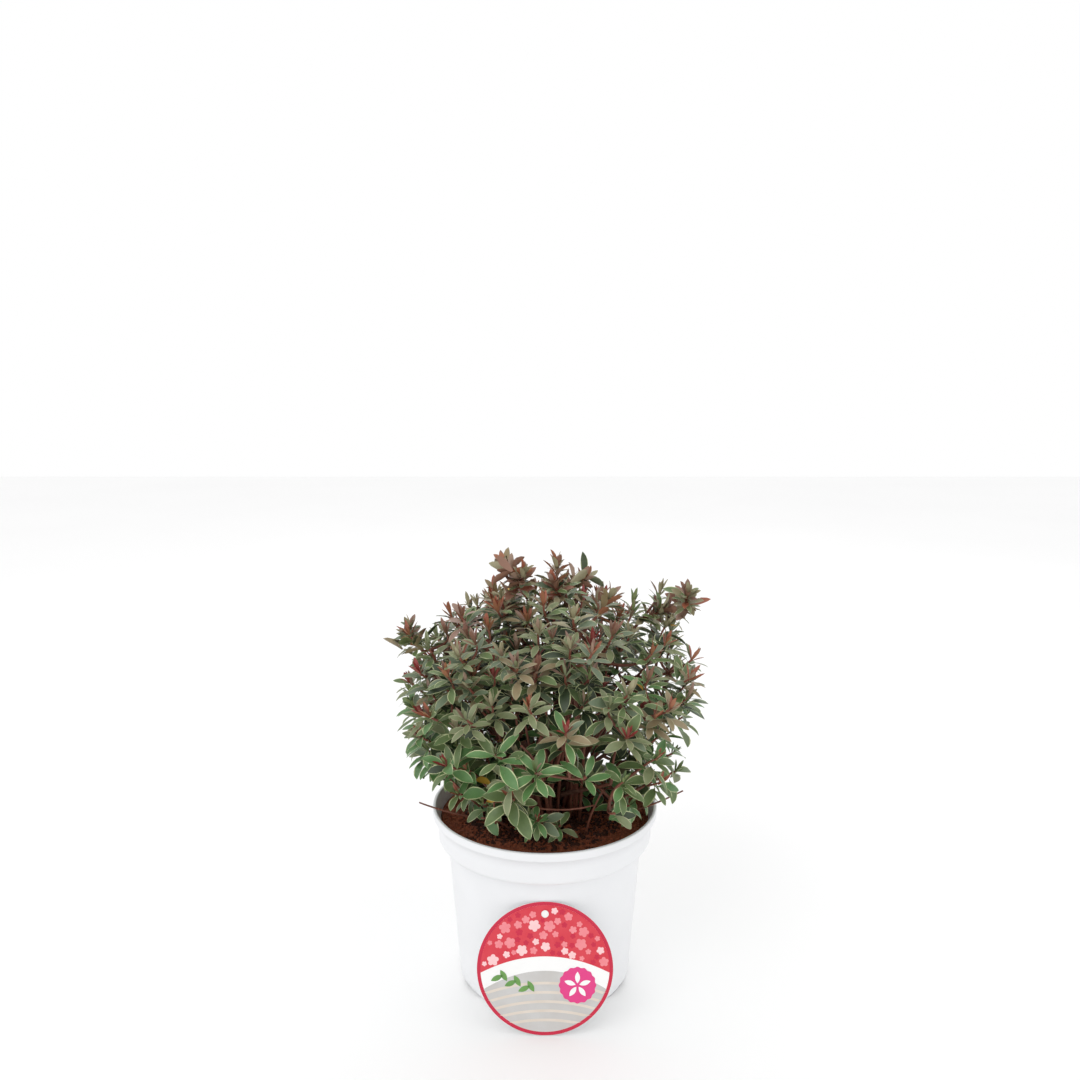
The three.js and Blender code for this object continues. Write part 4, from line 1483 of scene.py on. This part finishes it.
@dataclass
class Limbs:
    """The trunk and the boughs with bark relief.

    Attributes:
        crown: The crown.
        sides: Vertices round the trunk.
        rings: Stretches along it.
        bough_sides: Vertices round a bough.
        bough_rings: Stretches along it.
        flare_height: How high the root flare reaches.
        foot_radius: The trunk's radius at the mix.
        top_radius: Its radius at its top.
        cap: How far its rounded top rises, and that ring's radius as a share of the top's.
        ridge: How far the bark stands proud.
        bough_ridge: The same on a bough, as a share of the trunk's.
        sink: How far a bough's root is sunk in the trunk.
        root_share: The radius of that root, as a share of the bough's.
        fissures: How the bark's height is stretched, the scale of its fissures, and that of its knots.
        knots: How high a knot is, as a share of a fissure.
    """

    crown: Crown
    sides: int = 20
    rings: int = 16
    bough_sides: int = 12
    bough_rings: int = 22
    flare_height: float = 11
    foot_radius: float = 18
    top_radius: float = 8.5
    cap: Pair = (1.2, 0.6)
    ridge: float = 0.9
    bough_ridge: float = 0.4
    sink: float = 2.5
    root_share: float = 1.15
    fissures: Triple = (0.25, 0.35, 0.12)
    knots: float = 0.6

    def tube(
        self, path: Sequence[Array], radii: Sequence[float], sides: int, relief: float
    ) -> bpy.types.Mesh:
        """A tube drawn along a path, ring by ring, with ridges and knots.

        Args:
            path: The middles of its rings.
            radii: Their radii.
            sides: Vertices round it.
            relief: How far the bark stands proud, in millimetres.

        Returns:
            The mesh, closed at both ends.
        """
        bm = bmesh.new()
        heading = Vector(path[1] - path[0]).normalized()
        turn = Vector((0, 0, 1)).rotation_difference(heading)
        spot = Matrix.Translation(Vector(path[0])) @ turn.to_matrix().to_4x4()
        bmesh.ops.create_circle(bm, cap_ends=True, segments=sides, radius=radii[0], matrix=spot)
        bm.faces.ensure_lookup_table()
        bmesh.ops.reverse_faces(bm, faces=bm.faces[:])
        ring = list(bm.edges)
        for i in range(1, len(path)):
            onward = Vector(path[min(i + 1, len(path) - 1)] - path[i - 1]).normalized()
            bend = heading.rotation_difference(onward).to_matrix().to_4x4()
            grown = bmesh.ops.extrude_edge_only(bm, edges=ring)["geom"]
            verts = [part for part in grown if isinstance(part, bmesh.types.BMVert)]
            edges = [part for part in grown if isinstance(part, bmesh.types.BMEdge)]
            ring = [edge for edge in edges if all(vert in verts for vert in edge.verts)]
            scale = Matrix.Scale(radii[i] / radii[i - 1], 4)
            back = Matrix.Translation(-Vector(path[i - 1]))
            onto = Matrix.Translation(Vector(path[i])) @ bend @ scale @ back
            bmesh.ops.transform(bm, matrix=onto, verts=verts)
            heading = onward
        bmesh.ops.contextual_create(bm, geom=ring)
        bmesh.ops.recalc_face_normals(bm, faces=bm.faces[:])
        bm.normal_update()
        stretch, fissure, knot = self.fissures
        for vert in bm.verts:
            spread = Vector((vert.co.x, vert.co.y, vert.co.z * stretch))
            lift = noises.noise(spread * fissure) + self.knots * noises.noise(vert.co * knot)
            vert.co += vert.normal * (lift * relief)
        return mesh_of(bm)

    def trunk_mesh(self) -> bpy.types.Mesh:
        """The trunk: a flat cut at the mix, a flare over it, and a rounded top."""
        crown = self.crown
        heights = [h * crown.trunk_height / self.rings for h in range(self.rings + 1)]
        radii = []
        for height in heights:
            taper = crown.trunk_radius + (self.top_radius - crown.trunk_radius) * height / crown.trunk_height
            flare = max(0.0, 1 - height / self.flare_height)
            radii.append(taper + (self.foot_radius - crown.trunk_radius) * flare * flare)
        path = [crown.trunk_point(h) for h in heights]
        path.append(crown.trunk_point(crown.trunk_height + self.cap[0]))
        return self.tube(path, [*radii, self.top_radius * self.cap[1]], self.sides, self.ridge)

    def bough_mesh(self, mass: Mass) -> bpy.types.Mesh:
        """A bough, with its root sunk in the trunk."""
        bough = self.crown.bough(mass)
        steps = self.bough_rings
        path = [bough.point(i / steps) for i in range(steps + 1)]
        first = path[0] - unit(path[1] - path[0]) * self.sink
        taper = bough.tip_radius - bough.root_radius
        radii = [bough.root_radius + taper * i / steps for i in range(steps + 1)]
        radii = [radii[0] * self.root_share, *radii]
        return self.tube([first, *path], radii, self.bough_sides, self.ridge * self.bough_ridge)


# ---------------- the pot and what is in and on it


def spun(profile: Sequence[Pair], steps: int) -> bmesh.types.BMesh:
    """A turned shape from its profile.

    Args:
        profile: Radius and height of each point, from one pole to the other.
        steps: Steps round the axis.

    Returns:
        The bmesh, closed, with its faces outward.
    """
    bm = bmesh.new()
    verts = [bm.verts.new((radius, 0, height)) for radius, height in profile]
    edges = [bm.edges.new(pair) for pair in zip(verts, verts[1:])]
    turned = [*verts, *edges]
    bmesh.ops.spin(
        bm, geom=turned, cent=(0, 0, 0), axis=(0, 0, 1), angle=2 * math.pi, steps=steps, use_merge=True
    )
    bmesh.ops.remove_doubles(bm, verts=bm.verts[:], dist=1e-4)
    bmesh.ops.recalc_face_normals(bm, faces=bm.faces[:])
    return bm


def arc(centre: Pair, radius: float, start: float, end: float, steps: int) -> list[Pair]:
    """Points of a profile round an arc, between two angles in degrees.

    Args:
        centre: The arc's middle.
        radius: Its radius.
        start: The first angle.
        end: The last angle.
        steps: Its steps.

    Returns:
        The points.
    """
    turns = [math.radians(start + (end - start) * i / steps) for i in range(steps + 1)]
    return [(centre[0] + radius * math.cos(t), centre[1] + radius * math.sin(t)) for t in turns]


@dataclass
class PotShell:
    """The pot, as its solid with finer rounding.

    Attributes:
        pot: The pot's sizes.
        steps: Steps round its axis.
        wall_heights: The heights of the rings between the wall's lowest and highest.
        wall_ends: How far over the foot's corner the lowest ring is, and how far under the band the highest.
        band_corner: The radius of the corner under the band.
        flare: How far the band flares, and how far under the lip, at two rings.
        lip_heel: The radius of the lip's lower edge.
        lip_corner: The radius of its upper edge.
        lip_inside: The radius of its inner edge.
        neck: How far under the lip the inside narrows.
        notch_step: How far outside the arches' inner ends their first ring is.
    """

    pot: Pot
    steps: int = 192
    wall_heights: tuple[float, ...] = (40, 80, 120)
    wall_ends: Pair = (8, 3)
    band_corner: float = 1.4
    flare: tuple[Pair, ...] = ((0.4, 12), (0.8, 3))
    lip_heel: float = 1.6
    lip_corner: float = 1.4
    lip_inside: float = 1
    neck: float = 4
    notch_step: float = 1

    def profile(self) -> list[Pair]:
        """Its section, from the middle of its underside round to the middle of its floor."""
        p = self.pot
        lip_bottom = p.height - p.lip_height
        lip_inner = p.lip_radius - p.lip_width
        lowest, highest = p.foot_corner + self.wall_ends[0], p.band_bottom - self.wall_ends[1]
        wall = [(p.wall_radius(h), h) for h in (lowest, *self.wall_heights, highest)]
        corner, heel, edge, inside = self.band_corner, self.lip_heel, self.lip_corner, self.lip_inside
        return [
            (0, 0),
            (p.foot_radius - p.notch_depth, 0),
            (p.foot_radius - p.notch_depth + self.notch_step, 0),
            *arc((p.foot_radius - p.foot_corner, p.foot_corner), p.foot_corner, -90, 0, 6),
            *wall,
            *arc((p.wall_top + corner, p.band_bottom - corner), corner, 180, 90, 3)[1:],
            *arc((p.band_radius - p.band_fillet, p.band_bottom + p.band_fillet), p.band_fillet, -85, 0, 8),
            *((p.band_radius + out, lip_bottom - drop) for out, drop in self.flare),
            *arc((p.lip_radius - heel, lip_bottom + heel / 2), heel, -60, 0, 4),
            *arc((p.lip_radius - edge, p.height - edge), edge, 0, 90, 5),
            *arc((lip_inner + inside, p.height - inside), inside, 90, 180, 4),
            (p.band_radius - p.wall, lip_bottom - self.neck),
            (p.band_radius - p.wall, p.band_bottom + p.band_fillet),
            (p.wall_top - p.wall, p.band_bottom),
            (p.foot_radius - p.wall, p.floor),
            (0, p.floor),
        ]

    def notch_height(self, x: float, y: float) -> float:
        """How far a drainage arch lifts the underside at a place.

        Args:
            x: The place.
            y: The place.

        Returns:
            The height of the arch there, 0 between arches.
        """
        p = self.pot
        if math.hypot(x, y) < p.foot_radius - p.notch_depth + self.notch_step / 2:
            return 0
        pitch = 2 * math.pi / p.notches
        turn = (math.atan2(y, x) + math.pi / 2 + pitch / 2) % pitch - pitch / 2
        across = math.hypot(x, y) * math.sin(turn)
        return max(0.0, p.notch_rise * (1 - (2 * across / p.notch_width) ** 2))

    def mesh(self) -> bpy.types.Mesh:
        """The pot's mesh, with its drainage arches."""
        bm = spun(self.profile(), self.steps)
        for vert in bm.verts:
            lift = self.notch_height(vert.co.x, vert.co.y)
            if vert.co.z < lift:
                vert.co.z = lift
        return mesh_of(bm)


@dataclass(frozen=True)
class Litter:
    """One kind of what lies strewn on the mix, in lumps of six faces.

    Attributes:
        count: How many there are.
        sizes: The least and greatest length.
        shape: Their proportions along three axes.
        slot: Their material number.
        reach: How near to the pot's middle and how far from it they lie.
    """

    count: int
    sizes: Pair
    shape: Triple
    slot: int
    reach: Pair


# Dark crumbs lie in the middle, partly painted shade under the crown
DARK_CRUMBS_AND_SHADE = Litter(3000, (1.2, 4.6), (1, 0.8, 0.6), 0, (19, 84))
RED_CRUMBS = Litter(3000, (1.2, 4.4), (1, 0.8, 0.6), 1, (52, 104))
BARK_FLAKES = Litter(700, (3, 8), (1, 0.5, 0.22), 1, (19, 104))
FIBRES = Litter(420, (5, 14), (1, 0.07, 0.07), 2, (19, 104))


@dataclass
class Mix:
    """The potting mix: a lumpy surface, strewn with crumbs, bark and fibres, darker in the middle with
    painted shade.

    Attributes:
        pot: The pot's sizes.
        steps: Steps round its axis.
        rings: Rings of its surface.
        gap: The room between it and the pot.
        mound_reach: How far from the wall the mound is at its full height.
        lumps: The height, scale and layer of each size of lump.
        edge: How far from the wall the lumps are whole, and their share at the wall.
        patch_scale: The scale of its dark and red patches.
        painted_shade_middle: How far out the red patches begin to outweigh the dark ones, which paint shade
            in the middle.
        crumple: How far a corner of a lump of litter moves in and out.
        tumble: How far it is tilted.
        lift: How far it stands over the surface, as a share of its thickness.
    """

    pot: Pot
    steps: int = 180
    rings: int = 46
    gap: float = 0.3
    mound_reach: float = 80
    lumps: tuple[Triple, ...] = ((1.6, 0.06, 0), (1.1, 0.19, 9), (0.5, 0.55, 4))
    edge: Pair = (4, 0.1)
    patch_scale: float = 0.05
    painted_shade_middle: float = 62
    crumple: Pair = (0.6, 1.15)
    tumble: float = 0.35
    lift: float = 0.25

    def height_at(self, x: float, y: float) -> float:
        """The surface's height at a place."""
        p = self.pot
        flat = math.hypot(x, y)
        rim = p.band_radius - p.wall - self.gap
        rise = p.soil_top + p.soil_mound * min(1.0, max(0.0, (rim - flat) / self.mound_reach))
        rough = sum(high * noises.noise(Vector((x, y, layer)) * scale) for high, scale, layer in self.lumps)
        return rise + rough * min(1.0, (rim - flat) / self.edge[0] + self.edge[1])

    def surface(self) -> bpy.types.Mesh:
        """The body of the mix."""
        p, gap = self.pot, self.gap
        rim = p.band_radius - p.wall - gap
        floor = p.floor + gap
        inside = [(p.wall_radius(h) - p.wall - gap, h) for h in (floor, p.band_bottom)]
        top = [(rim * (1 - i / self.rings), p.soil_top) for i in range(self.rings + 1)]
        bm = spun([(0, floor), *inside, (rim, p.band_bottom + p.band_fillet + gap), *top], self.steps)
        for vert in bm.verts:
            if vert.co.z > p.soil_top - 0.01:
                vert.co.z = self.height_at(vert.co.x, vert.co.y)
        # Dark mix towards the middle paints the shade under the crown; red mix lies towards the wall
        for face in bm.faces:
            middle = face.calc_center_median()
            patch = noises.noise(Vector((middle.x, middle.y, 30)) * self.patch_scale)
            light = patch + middle.xy.length / self.painted_shade_middle - 1.0
            face.material_index = 1 if light > 0 else 0
        return mesh_of(bm)

    def place(self, reach: Pair, chance: np.random.Generator) -> Array:
        """A random place on the surface, between two distances from the pot's middle."""
        flat = math.sqrt(chance.uniform(reach[0] ** 2, reach[1] ** 2))
        turn = chance.uniform(0, 2 * math.pi)
        x, y = flat * math.cos(turn), flat * math.sin(turn)
        return np.array([x, y, self.height_at(x, y)])

    def strewn(self, kind: Litter, chance: np.random.Generator) -> MeshArrays:
        """Many small lumps of one kind, tumbled on the surface.

        Args:
            kind: The kind of litter.
            chance: The seeded generator.

        Returns:
            Vertices, faces and material numbers.
        """
        corner = np.array([[x, y, z] for z in (-1, 1) for y in (-1, 1) for x in (-1, 1)], float) / 2
        faces = np.array([[0, 2, 3, 1], [4, 5, 7, 6], [0, 1, 5, 4], [2, 6, 7, 3], [0, 4, 6, 2], [1, 3, 7, 5]])
        shape, points, quads = np.array(kind.shape), [], []
        for i in range(kind.count):
            size = kind.sizes[0] + (kind.sizes[1] - kind.sizes[0]) * chance.random() ** 2
            lump = corner * shape * size * chance.uniform(*self.crumple, corner.shape)
            spin = Matrix.Rotation(chance.uniform(0, 2 * math.pi), 3, "Z")
            tilt = chance.normal(0, self.tumble, 2)
            turn = np.array(spin @ Matrix.Rotation(tilt[0], 3, "X") @ Matrix.Rotation(tilt[1], 3, "Y"))
            lift = np.array([0, 0, size * kind.shape[2] * self.lift])
            points.append(lump @ turn.T + self.place(kind.reach, chance) + lift)
            quads.append(faces + len(corner) * i)
        slots = np.full(len(faces) * kind.count, kind.slot)
        return np.concatenate(points), np.concatenate(quads), slots

    def litter(self, chance: np.random.Generator) -> bpy.types.Mesh:
        """Crumbs, flakes of bark and fibres, joined."""
        kinds = (DARK_CRUMBS_AND_SHADE, RED_CRUMBS, BARK_FLAKES, FIBRES)
        return mesh_from_arrays(*join_arrays([self.strewn(kind, chance) for kind in kinds]))


class Card(Enum):
    """The printed colours of the tag, by slot."""

    CRIMSON = 0
    RED = 1
    ROSE = 2
    PALE = 3
    WHITE = 4
    GREY = 5
    BEIGE = 6
    PINK = 7
    GREEN = 8


CARD_FINISHES: dict[Card, Finish] = {
    Card.CRIMSON: Finish("card_crimson", "c9193f", "b81638", 0.3, 40, 0.3, 0.03),
    Card.RED: Finish("card_red", "d22c3e", "da4450", 0.6, 60, 0.3, 0.03),
    Card.ROSE: Finish("card_rose", "ee8f95", "e9777f", 0.5, 120, 0.3, 0.03),
    Card.PALE: Finish("card_pale", "f7cfcf", "f3bcbf", 0.5, 120, 0.3, 0.03),
    Card.WHITE: Finish("card_white", "f6f6f5", "ecebea", 0.3, 40, 0.3, 0.03),
    Card.GREY: Finish("card_grey", "c9c8c6", "bebab6", 0.6, 50, 0.3, 0.03),
    Card.BEIGE: Finish("card_beige", "ddd3c7", "d2c6b8", 0.6, 60, 0.3, 0.03),
    Card.PINK: Finish("card_pink", "e23d86", "d93480", 0.4, 60, 0.3, 0.03),
    Card.GREEN: Finish("card_green", "6f9f52", "568a44", 0.6, 120, 0.3, 0.03),
}


FLOWER_COLOURS = (Card.ROSE, Card.PALE, Card.ROSE, Card.CRIMSON)


@dataclass
class Tag:
    """The round tag that leans on the pot, printed with a plain generic design, and its pin.

    Attributes:
        diameter: Its diameter.
        thickness: Its thickness.
        lean: How far it leans back, in degrees.
        lowest: The height of its lowest point.
        front: How far in front of the pot's middle its foot stands.
        pin_drop: How far the pin is from its edge.
        hole_radius: The radius of the hole for it.
        ring_width: The width of the ring round its face.
        ink: The thickness of a printed layer.
        sides: Points along its edge.
        shape_sides: Points along the outline of a large printed shape.
        small_sides: The same for a small one.
        band_rows: The height of the uppermost pale band, and the distance of the next.
        band_width: The width of a band.
        bands: How many there are.
        flower_tries: How many places are tried for a flower.
        flower_sizes: The least and greatest radius of a flower.
        flower_room: How near flowers may be, as a share of their radii.
        badge: The middle and radius of the rosette.
        rosette: How far from it its petals are, and half their length.
        sprig_leaf: Half the length of a leaf of the sprig.
    """

    diameter: float = 130
    thickness: float = 0.8
    lean: float = 8.4
    lowest: float = 1.5
    front: float = 118
    pin_drop: float = 11.5
    hole_radius: float = 2.4
    ring_width: float = 3.4
    ink: float = 0.07
    sides: int = 160
    shape_sides: int = 96
    small_sides: int = 32
    band_rows: Pair = (-14, 9)
    band_width: float = 2.6
    bands: int = 5
    flower_tries: int = 900
    flower_sizes: Pair = (2.4, 6)
    flower_room: float = 0.93
    badge: Triple = (31, -16, 18)
    rosette: Pair = (7.5, 5.6)
    sprig_leaf: float = 6.2

    def matrix(self) -> Matrix:
        """From the tag's own plane, with its face towards +Z, to its place on the pot."""
        lean = math.radians(self.lean)
        radius = self.diameter / 2
        spot = Vector((0, -self.front + radius * math.sin(lean), self.lowest + radius * math.cos(lean)))
        return Matrix.Translation(spot) @ Matrix.Rotation(math.pi / 2 - lean, 4, "X")

    def patch(self, bm: bmesh.types.BMesh, colour: Card, layer: int, shape: Outline, sides: int) -> None:
        """Prints one flat shape, a hair proud of what lies under it.

        Args:
            bm: The tag's bmesh.
            colour: Its colour.
            layer: How many layers lie under it.
            shape: Its outline, a place for each angle.
            sides: Points along its outline.
        """
        made = bmesh.ops.create_circle(bm, cap_ends=True, segments=sides, radius=1)["verts"]
        for vert in made:
            x, y = shape(math.atan2(vert.co.y, vert.co.x))
            vert.co = Vector((x, y, self.thickness + layer * self.ink))
        faces = list({face for vert in made for face in vert.link_faces})
        grown = bmesh.ops.extrude_face_region(bm, geom=faces, use_keep_orig=True)["geom"]
        raised = [part for part in grown if isinstance(part, bmesh.types.BMVert)]
        bmesh.ops.translate(bm, vec=(0, 0, self.ink), verts=raised)
        tops = {part for part in grown if isinstance(part, bmesh.types.BMFace)}
        for face in {face for vert in made for face in vert.link_faces} | tops:
            face.material_index = colour.value

    @staticmethod
    def arch(x: float) -> float:
        """The lower edge of the red field."""
        return 12 - 0.0042 * x * x

    @staticmethod
    def swell(x: float) -> float:
        """The upper edge of the grey field."""
        return -2 - 0.0052 * x * x

    def ripple(self, height: float) -> Curve:
        """An edge flatter than the grey field's, moved down it."""

        def edge(x: float) -> float:
            return self.swell(x) * 0.6 + height

        return edge

    @staticmethod
    def field(radius: float, low: Curve | None = None, high: Curve | None = None) -> Outline:
        """The outline of a disc, or of the part of it between two curves.

        Args:
            radius: The disc's radius.
            low: The height of the lower curve, for each place across.
            high: The height of the upper one.

        Returns:
            The outline.
        """

        def shape(turn: float) -> Pair:
            x, y = radius * math.cos(turn), radius * math.sin(turn)
            y = max(y, low(x)) if low else y
            return x, min(y, high(x)) if high else y

        return shape

    @staticmethod
    def petals(spot: Pair, size: float, count: int, turn: float) -> Outline:
        """The outline of a plain flower.

        Args:
            spot: Its middle.
            size: Its radius.
            count: Its petals.
            turn: How far it is turned, in radians.

        Returns:
            The outline.
        """

        def shape(angle: float) -> Pair:
            reach = size * (0.55 + 0.45 * math.sqrt(abs(math.cos(count / 2 * (angle - turn)))))
            return spot[0] + reach * math.cos(angle), spot[1] + reach * math.sin(angle)

        return shape

    @staticmethod
    def disc(spot: Pair, size: float) -> Outline:
        """The outline of a disc with a softly scalloped edge.

        Args:
            spot: Its middle.
            size: Its radius.

        Returns:
            The outline.
        """

        def shape(angle: float) -> Pair:
            reach = size * (0.97 + 0.03 * math.cos(16 * angle))
            return spot[0] + reach * math.cos(angle), spot[1] + reach * math.sin(angle)

        return shape

    @staticmethod
    def leaf(spot: Pair, size: float, turn: float) -> Outline:
        """The outline of a plain leaf.

        Args:
            spot: Its middle.
            size: Half its length.
            turn: The way that it points, in radians.

        Returns:
            The outline.
        """

        def shape(angle: float) -> Pair:
            x = size * math.cos(angle)
            y = 0.42 * size * math.sin(angle) * abs(math.sin(angle))
            return (
                spot[0] + x * math.cos(turn) - y * math.sin(turn),
                spot[1] + x * math.sin(turn) + y * math.cos(turn),
            )

        return shape

    def mesh(self, chance: np.random.Generator) -> bpy.types.Mesh:
        """The tag: its card, then its printed layers.

        Args:
            chance: The seeded generator that strews the flowers.

        Returns:
            The mesh, in its place.
        """
        bm = bmesh.new()
        radius = self.diameter / 2
        base = bmesh.ops.create_circle(bm, cap_ends=True, segments=self.sides, radius=radius)["verts"]
        faces = list({face for vert in base for face in vert.link_faces})
        grown = bmesh.ops.extrude_face_region(bm, geom=faces, use_keep_orig=True)["geom"]
        raised = [part for part in grown if isinstance(part, bmesh.types.BMVert)]
        bmesh.ops.translate(bm, vec=(0, 0, self.thickness), verts=raised)
        inner = radius - self.ring_width
        for face in bm.faces:
            face.material_index = Card.WHITE.value
        self.patch(bm, Card.CRIMSON, 0, self.field(radius), self.sides)
        self.patch(bm, Card.WHITE, 1, self.field(inner), self.sides)
        self.patch(bm, Card.RED, 2, self.field(inner, low=self.arch), self.sides)
        self.patch(bm, Card.GREY, 2, self.field(inner, high=self.swell), self.sides)
        for i in range(self.bands):
            edge = self.band_rows[0] - self.band_rows[1] * i
            band = self.field(inner - 0.5, self.ripple(edge), self.ripple(edge + self.band_width))
            self.patch(bm, Card.BEIGE, 3, band, self.shape_sides)
        self.print_flowers(bm, inner, chance)
        self.print_rosette(bm)
        self.print_sprig(bm)
        bmesh.ops.recalc_face_normals(bm, faces=bm.faces[:])
        bmesh.ops.transform(bm, matrix=self.matrix(), verts=bm.verts[:])
        return mesh_of(bm)

    def print_flowers(self, bm: bmesh.types.BMesh, inner: float, chance: np.random.Generator) -> None:
        """Strews plain flowers over the red field.

        Args:
            bm: The tag's bmesh.
            inner: The radius of its face.
            chance: The seeded generator.
        """
        strewn = [(0.0, self.diameter / 2 - self.pin_drop, self.hole_radius + 1)]
        for _ in range(self.flower_tries):
            reach, turn = inner * math.sqrt(chance.uniform(0, 1)), chance.uniform(0, math.pi)
            size = chance.uniform(*self.flower_sizes)
            x, y = reach * math.cos(turn), reach * math.sin(turn)
            if y - size < self.arch(x) or math.hypot(x, y) + size > inner:
                continue
            if any(math.hypot(x - a, y - b) < self.flower_room * (size + c) for a, b, c in strewn):
                continue
            strewn.append((x, y, size))
            colour = FLOWER_COLOURS[int(chance.integers(0, len(FLOWER_COLOURS)))]
            self.patch(bm, colour, 3, self.petals((x, y), size, 5, chance.uniform(0, 6)), 40)

    def print_rosette(self, bm: bmesh.types.BMesh) -> None:
        """Prints five white petals on a pink disc."""
        across, up, radius = self.badge
        reach, size = self.rosette
        self.patch(bm, Card.PINK, 4, self.disc((across, up), radius), self.shape_sides)
        for turn in range(5):
            angle = math.radians(90 + 72 * turn)
            spot = (across + reach * math.cos(angle), up + reach * math.sin(angle))
            self.patch(bm, Card.WHITE, 5, self.leaf(spot, size, angle), self.small_sides)

    def print_sprig(self, bm: bmesh.types.BMesh) -> None:
        """Prints six green leaves in two staggered rows."""
        for i in range(6):
            side = i % 2
            spot = (-46 + 6.5 * i, -9 - 2.6 * i + 5 * side)
            shape = self.leaf(spot, self.sprig_leaf, math.radians(25 + 95 * side))
            self.patch(bm, Card.GREEN, 4, shape, self.small_sides)

    def pin_mesh(self) -> bpy.types.Mesh:
        """The pin, with a domed head."""
        base = self.thickness + 0.3
        shank = [(0, -4.6), (1.6, -4.6), (1.6, base), (3.4, base)]
        head = [*arc((2.9, base + 0.7), 0.7, -10, 60, 4), *arc((0, base - 2.6), 4.2, 62, 90, 6)]
        bm = spun([*shank, *head], 32)
        radius = self.diameter / 2
        bmesh.ops.translate(bm, vec=(0, radius - self.pin_drop, 0), verts=bm.verts[:])
        bmesh.ops.transform(bm, matrix=self.matrix(), verts=bm.verts[:])
        return mesh_of(bm)


# ---------------- the studio


@dataclass
class Studio:
    """The camera, the soft lights and the pale floor, in metres."""

    camera_spot: Triple = (-0.0048, -1.006, 0.656)
    pitch: float = 10.95
    lens: float = 34.67
    sensor: float = 36
    floor_size: float = 8

    def add_camera(self) -> None:
        """Sets the scene's camera."""
        data = bpy.data.cameras.new("camera")
        data.lens, data.sensor_width = self.lens, self.sensor
        camera = bpy.data.objects.new("camera", data)
        camera.location = self.camera_spot
        camera.rotation_euler = (math.radians(90 - self.pitch), 0, 0)
        bpy.context.scene.collection.objects.link(camera)
        bpy.context.scene.camera = camera

    def add_light(self, name: str, spot: Triple, size: float, power: float) -> None:
        """An area light that looks at the middle of the shrub.

        Args:
            name: Its name.
            spot: Where it stands.
            size: The length of its side.
            power: Its power in watts.
        """
        data = bpy.data.lights.new(name, "AREA")
        data.shape, data.size, data.energy = "SQUARE", size, power
        light = bpy.data.objects.new(name, data)
        light.location = spot
        light.rotation_euler = (Vector((0, 0, 0.25)) - Vector(spot)).to_track_quat("-Z", "Y").to_euler()
        bpy.context.scene.collection.objects.link(light)

    def build(self, dresser: Dresser) -> None:
        """Puts the studio round the pot.

        Args:
            dresser: The maker of materials.
        """
        self.add_camera()
        self.add_light("key_light", (-1.1, -1.5, 2.0), 1.4, 9)
        self.add_light("fill_light", (1.6, -1.2, 1.1), 1.6, 1.5)
        self.add_light("back_light", (0.3, 1.7, 1.8), 1.8, 4)
        world = bpy.data.worlds.new("studio")
        world.use_nodes = True
        world.node_tree.nodes["Background"].inputs["Color"].default_value = (1, 1, 1, 1)
        world.node_tree.nodes["Background"].inputs["Strength"].default_value = 1.0
        bpy.context.scene.world = world
        bpy.context.scene.view_settings.view_transform = "Standard"
        bm = bmesh.new()
        bmesh.ops.create_grid(bm, x_segments=8, y_segments=8, size=self.floor_size / 2)
        mesh = bpy.data.meshes.new("floor")
        bm.to_mesh(mesh)
        bm.free()
        mesh.materials.append(dresser.material(FLOOR_WHITE))
        floor = bpy.data.objects.new("floor", mesh)
        bpy.context.scene.collection.objects.link(floor)


def dress_plant(dresser: Dresser, crown: Crown) -> None:
    """Puts bark on the limbs, and twigs and leaves in each mass.

    Args:
        dresser: The maker of pieces.
        crown: The crown.
    """
    limbs = Limbs(crown)
    dresser.piece("bark_trunk", limbs.trunk_mesh(), [BARK], ["trunk"], "bark")
    leaves = [LEAF_FINISHES[kind] for kind in Leaf]
    for number, mass in enumerate(MASSES):
        dresser.piece(f"bark_{mass.name}", limbs.bough_mesh(mass), [BARK], [f"bough_{mass.name}"], "bark")
        stems = InnerStems(crown).grow(mass, np.random.default_rng(STEM_SEED + number))
        twigs = Growth(crown, mass, number).grow() + bare_twigs(mass) + stems
        foliage = Foliage(crown, mass, twigs, np.random.default_rng(LEAF_SEED + number))
        node = f"foliage_{mass.name}"
        dresser.piece(f"twigs_{mass.name}", foliage.twig_mesh(), [TWIG_BARK, YOUNG_BARK], [node], "bark")
        dresser.piece(f"leaves_{mass.name}", foliage.leaf_mesh(), leaves, [node], "foliage")


def dress_pot(dresser: Dresser, pot: Pot) -> None:
    """Makes the pot, its mix, its tag and the tag's pin.

    Args:
        dresser: The maker of pieces.
        pot: The pot's sizes.
    """
    dresser.piece("pot_shell", PotShell(pot).mesh(), [POT_WHITE], ["pot"], "pot_plastic")
    mix = Mix(pot)
    dresser.piece("mix_surface", mix.surface(), [MIX_DARK_AND_SHADE, MIX_RED], ["potting_mix"], "potting_mix")
    litter = mix.litter(np.random.default_rng(LITTER_SEED))
    finishes = [MIX_DARK_AND_SHADE, MIX_RED, MIX_FIBRE]
    dresser.piece("mix_litter", litter, finishes, ["potting_mix"], "potting_mix", smooth=False)
    tag = Tag()
    card = tag.mesh(np.random.default_rng(TAG_SEED))
    finishes = [CARD_FINISHES[colour] for colour in Card]
    dresser.piece("tag_card", card, finishes, ["tag"], "tag_card", smooth=False)
    dresser.piece("tag_pin_cap", tag.pin_mesh(), [PIN_WHITE], ["tag_pin"], "pin_plastic")


def main() -> None:
    """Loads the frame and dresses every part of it."""
    logging.basicConfig(level=logging.INFO, format="%(name)s: %(message)s")
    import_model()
    dresser = Dresser()
    pot = Pot()
    Studio().build(dresser)
    dress_pot(dresser, pot)
    dress_plant(dresser, Crown(pot))


if __name__ == "__main__":
    main()
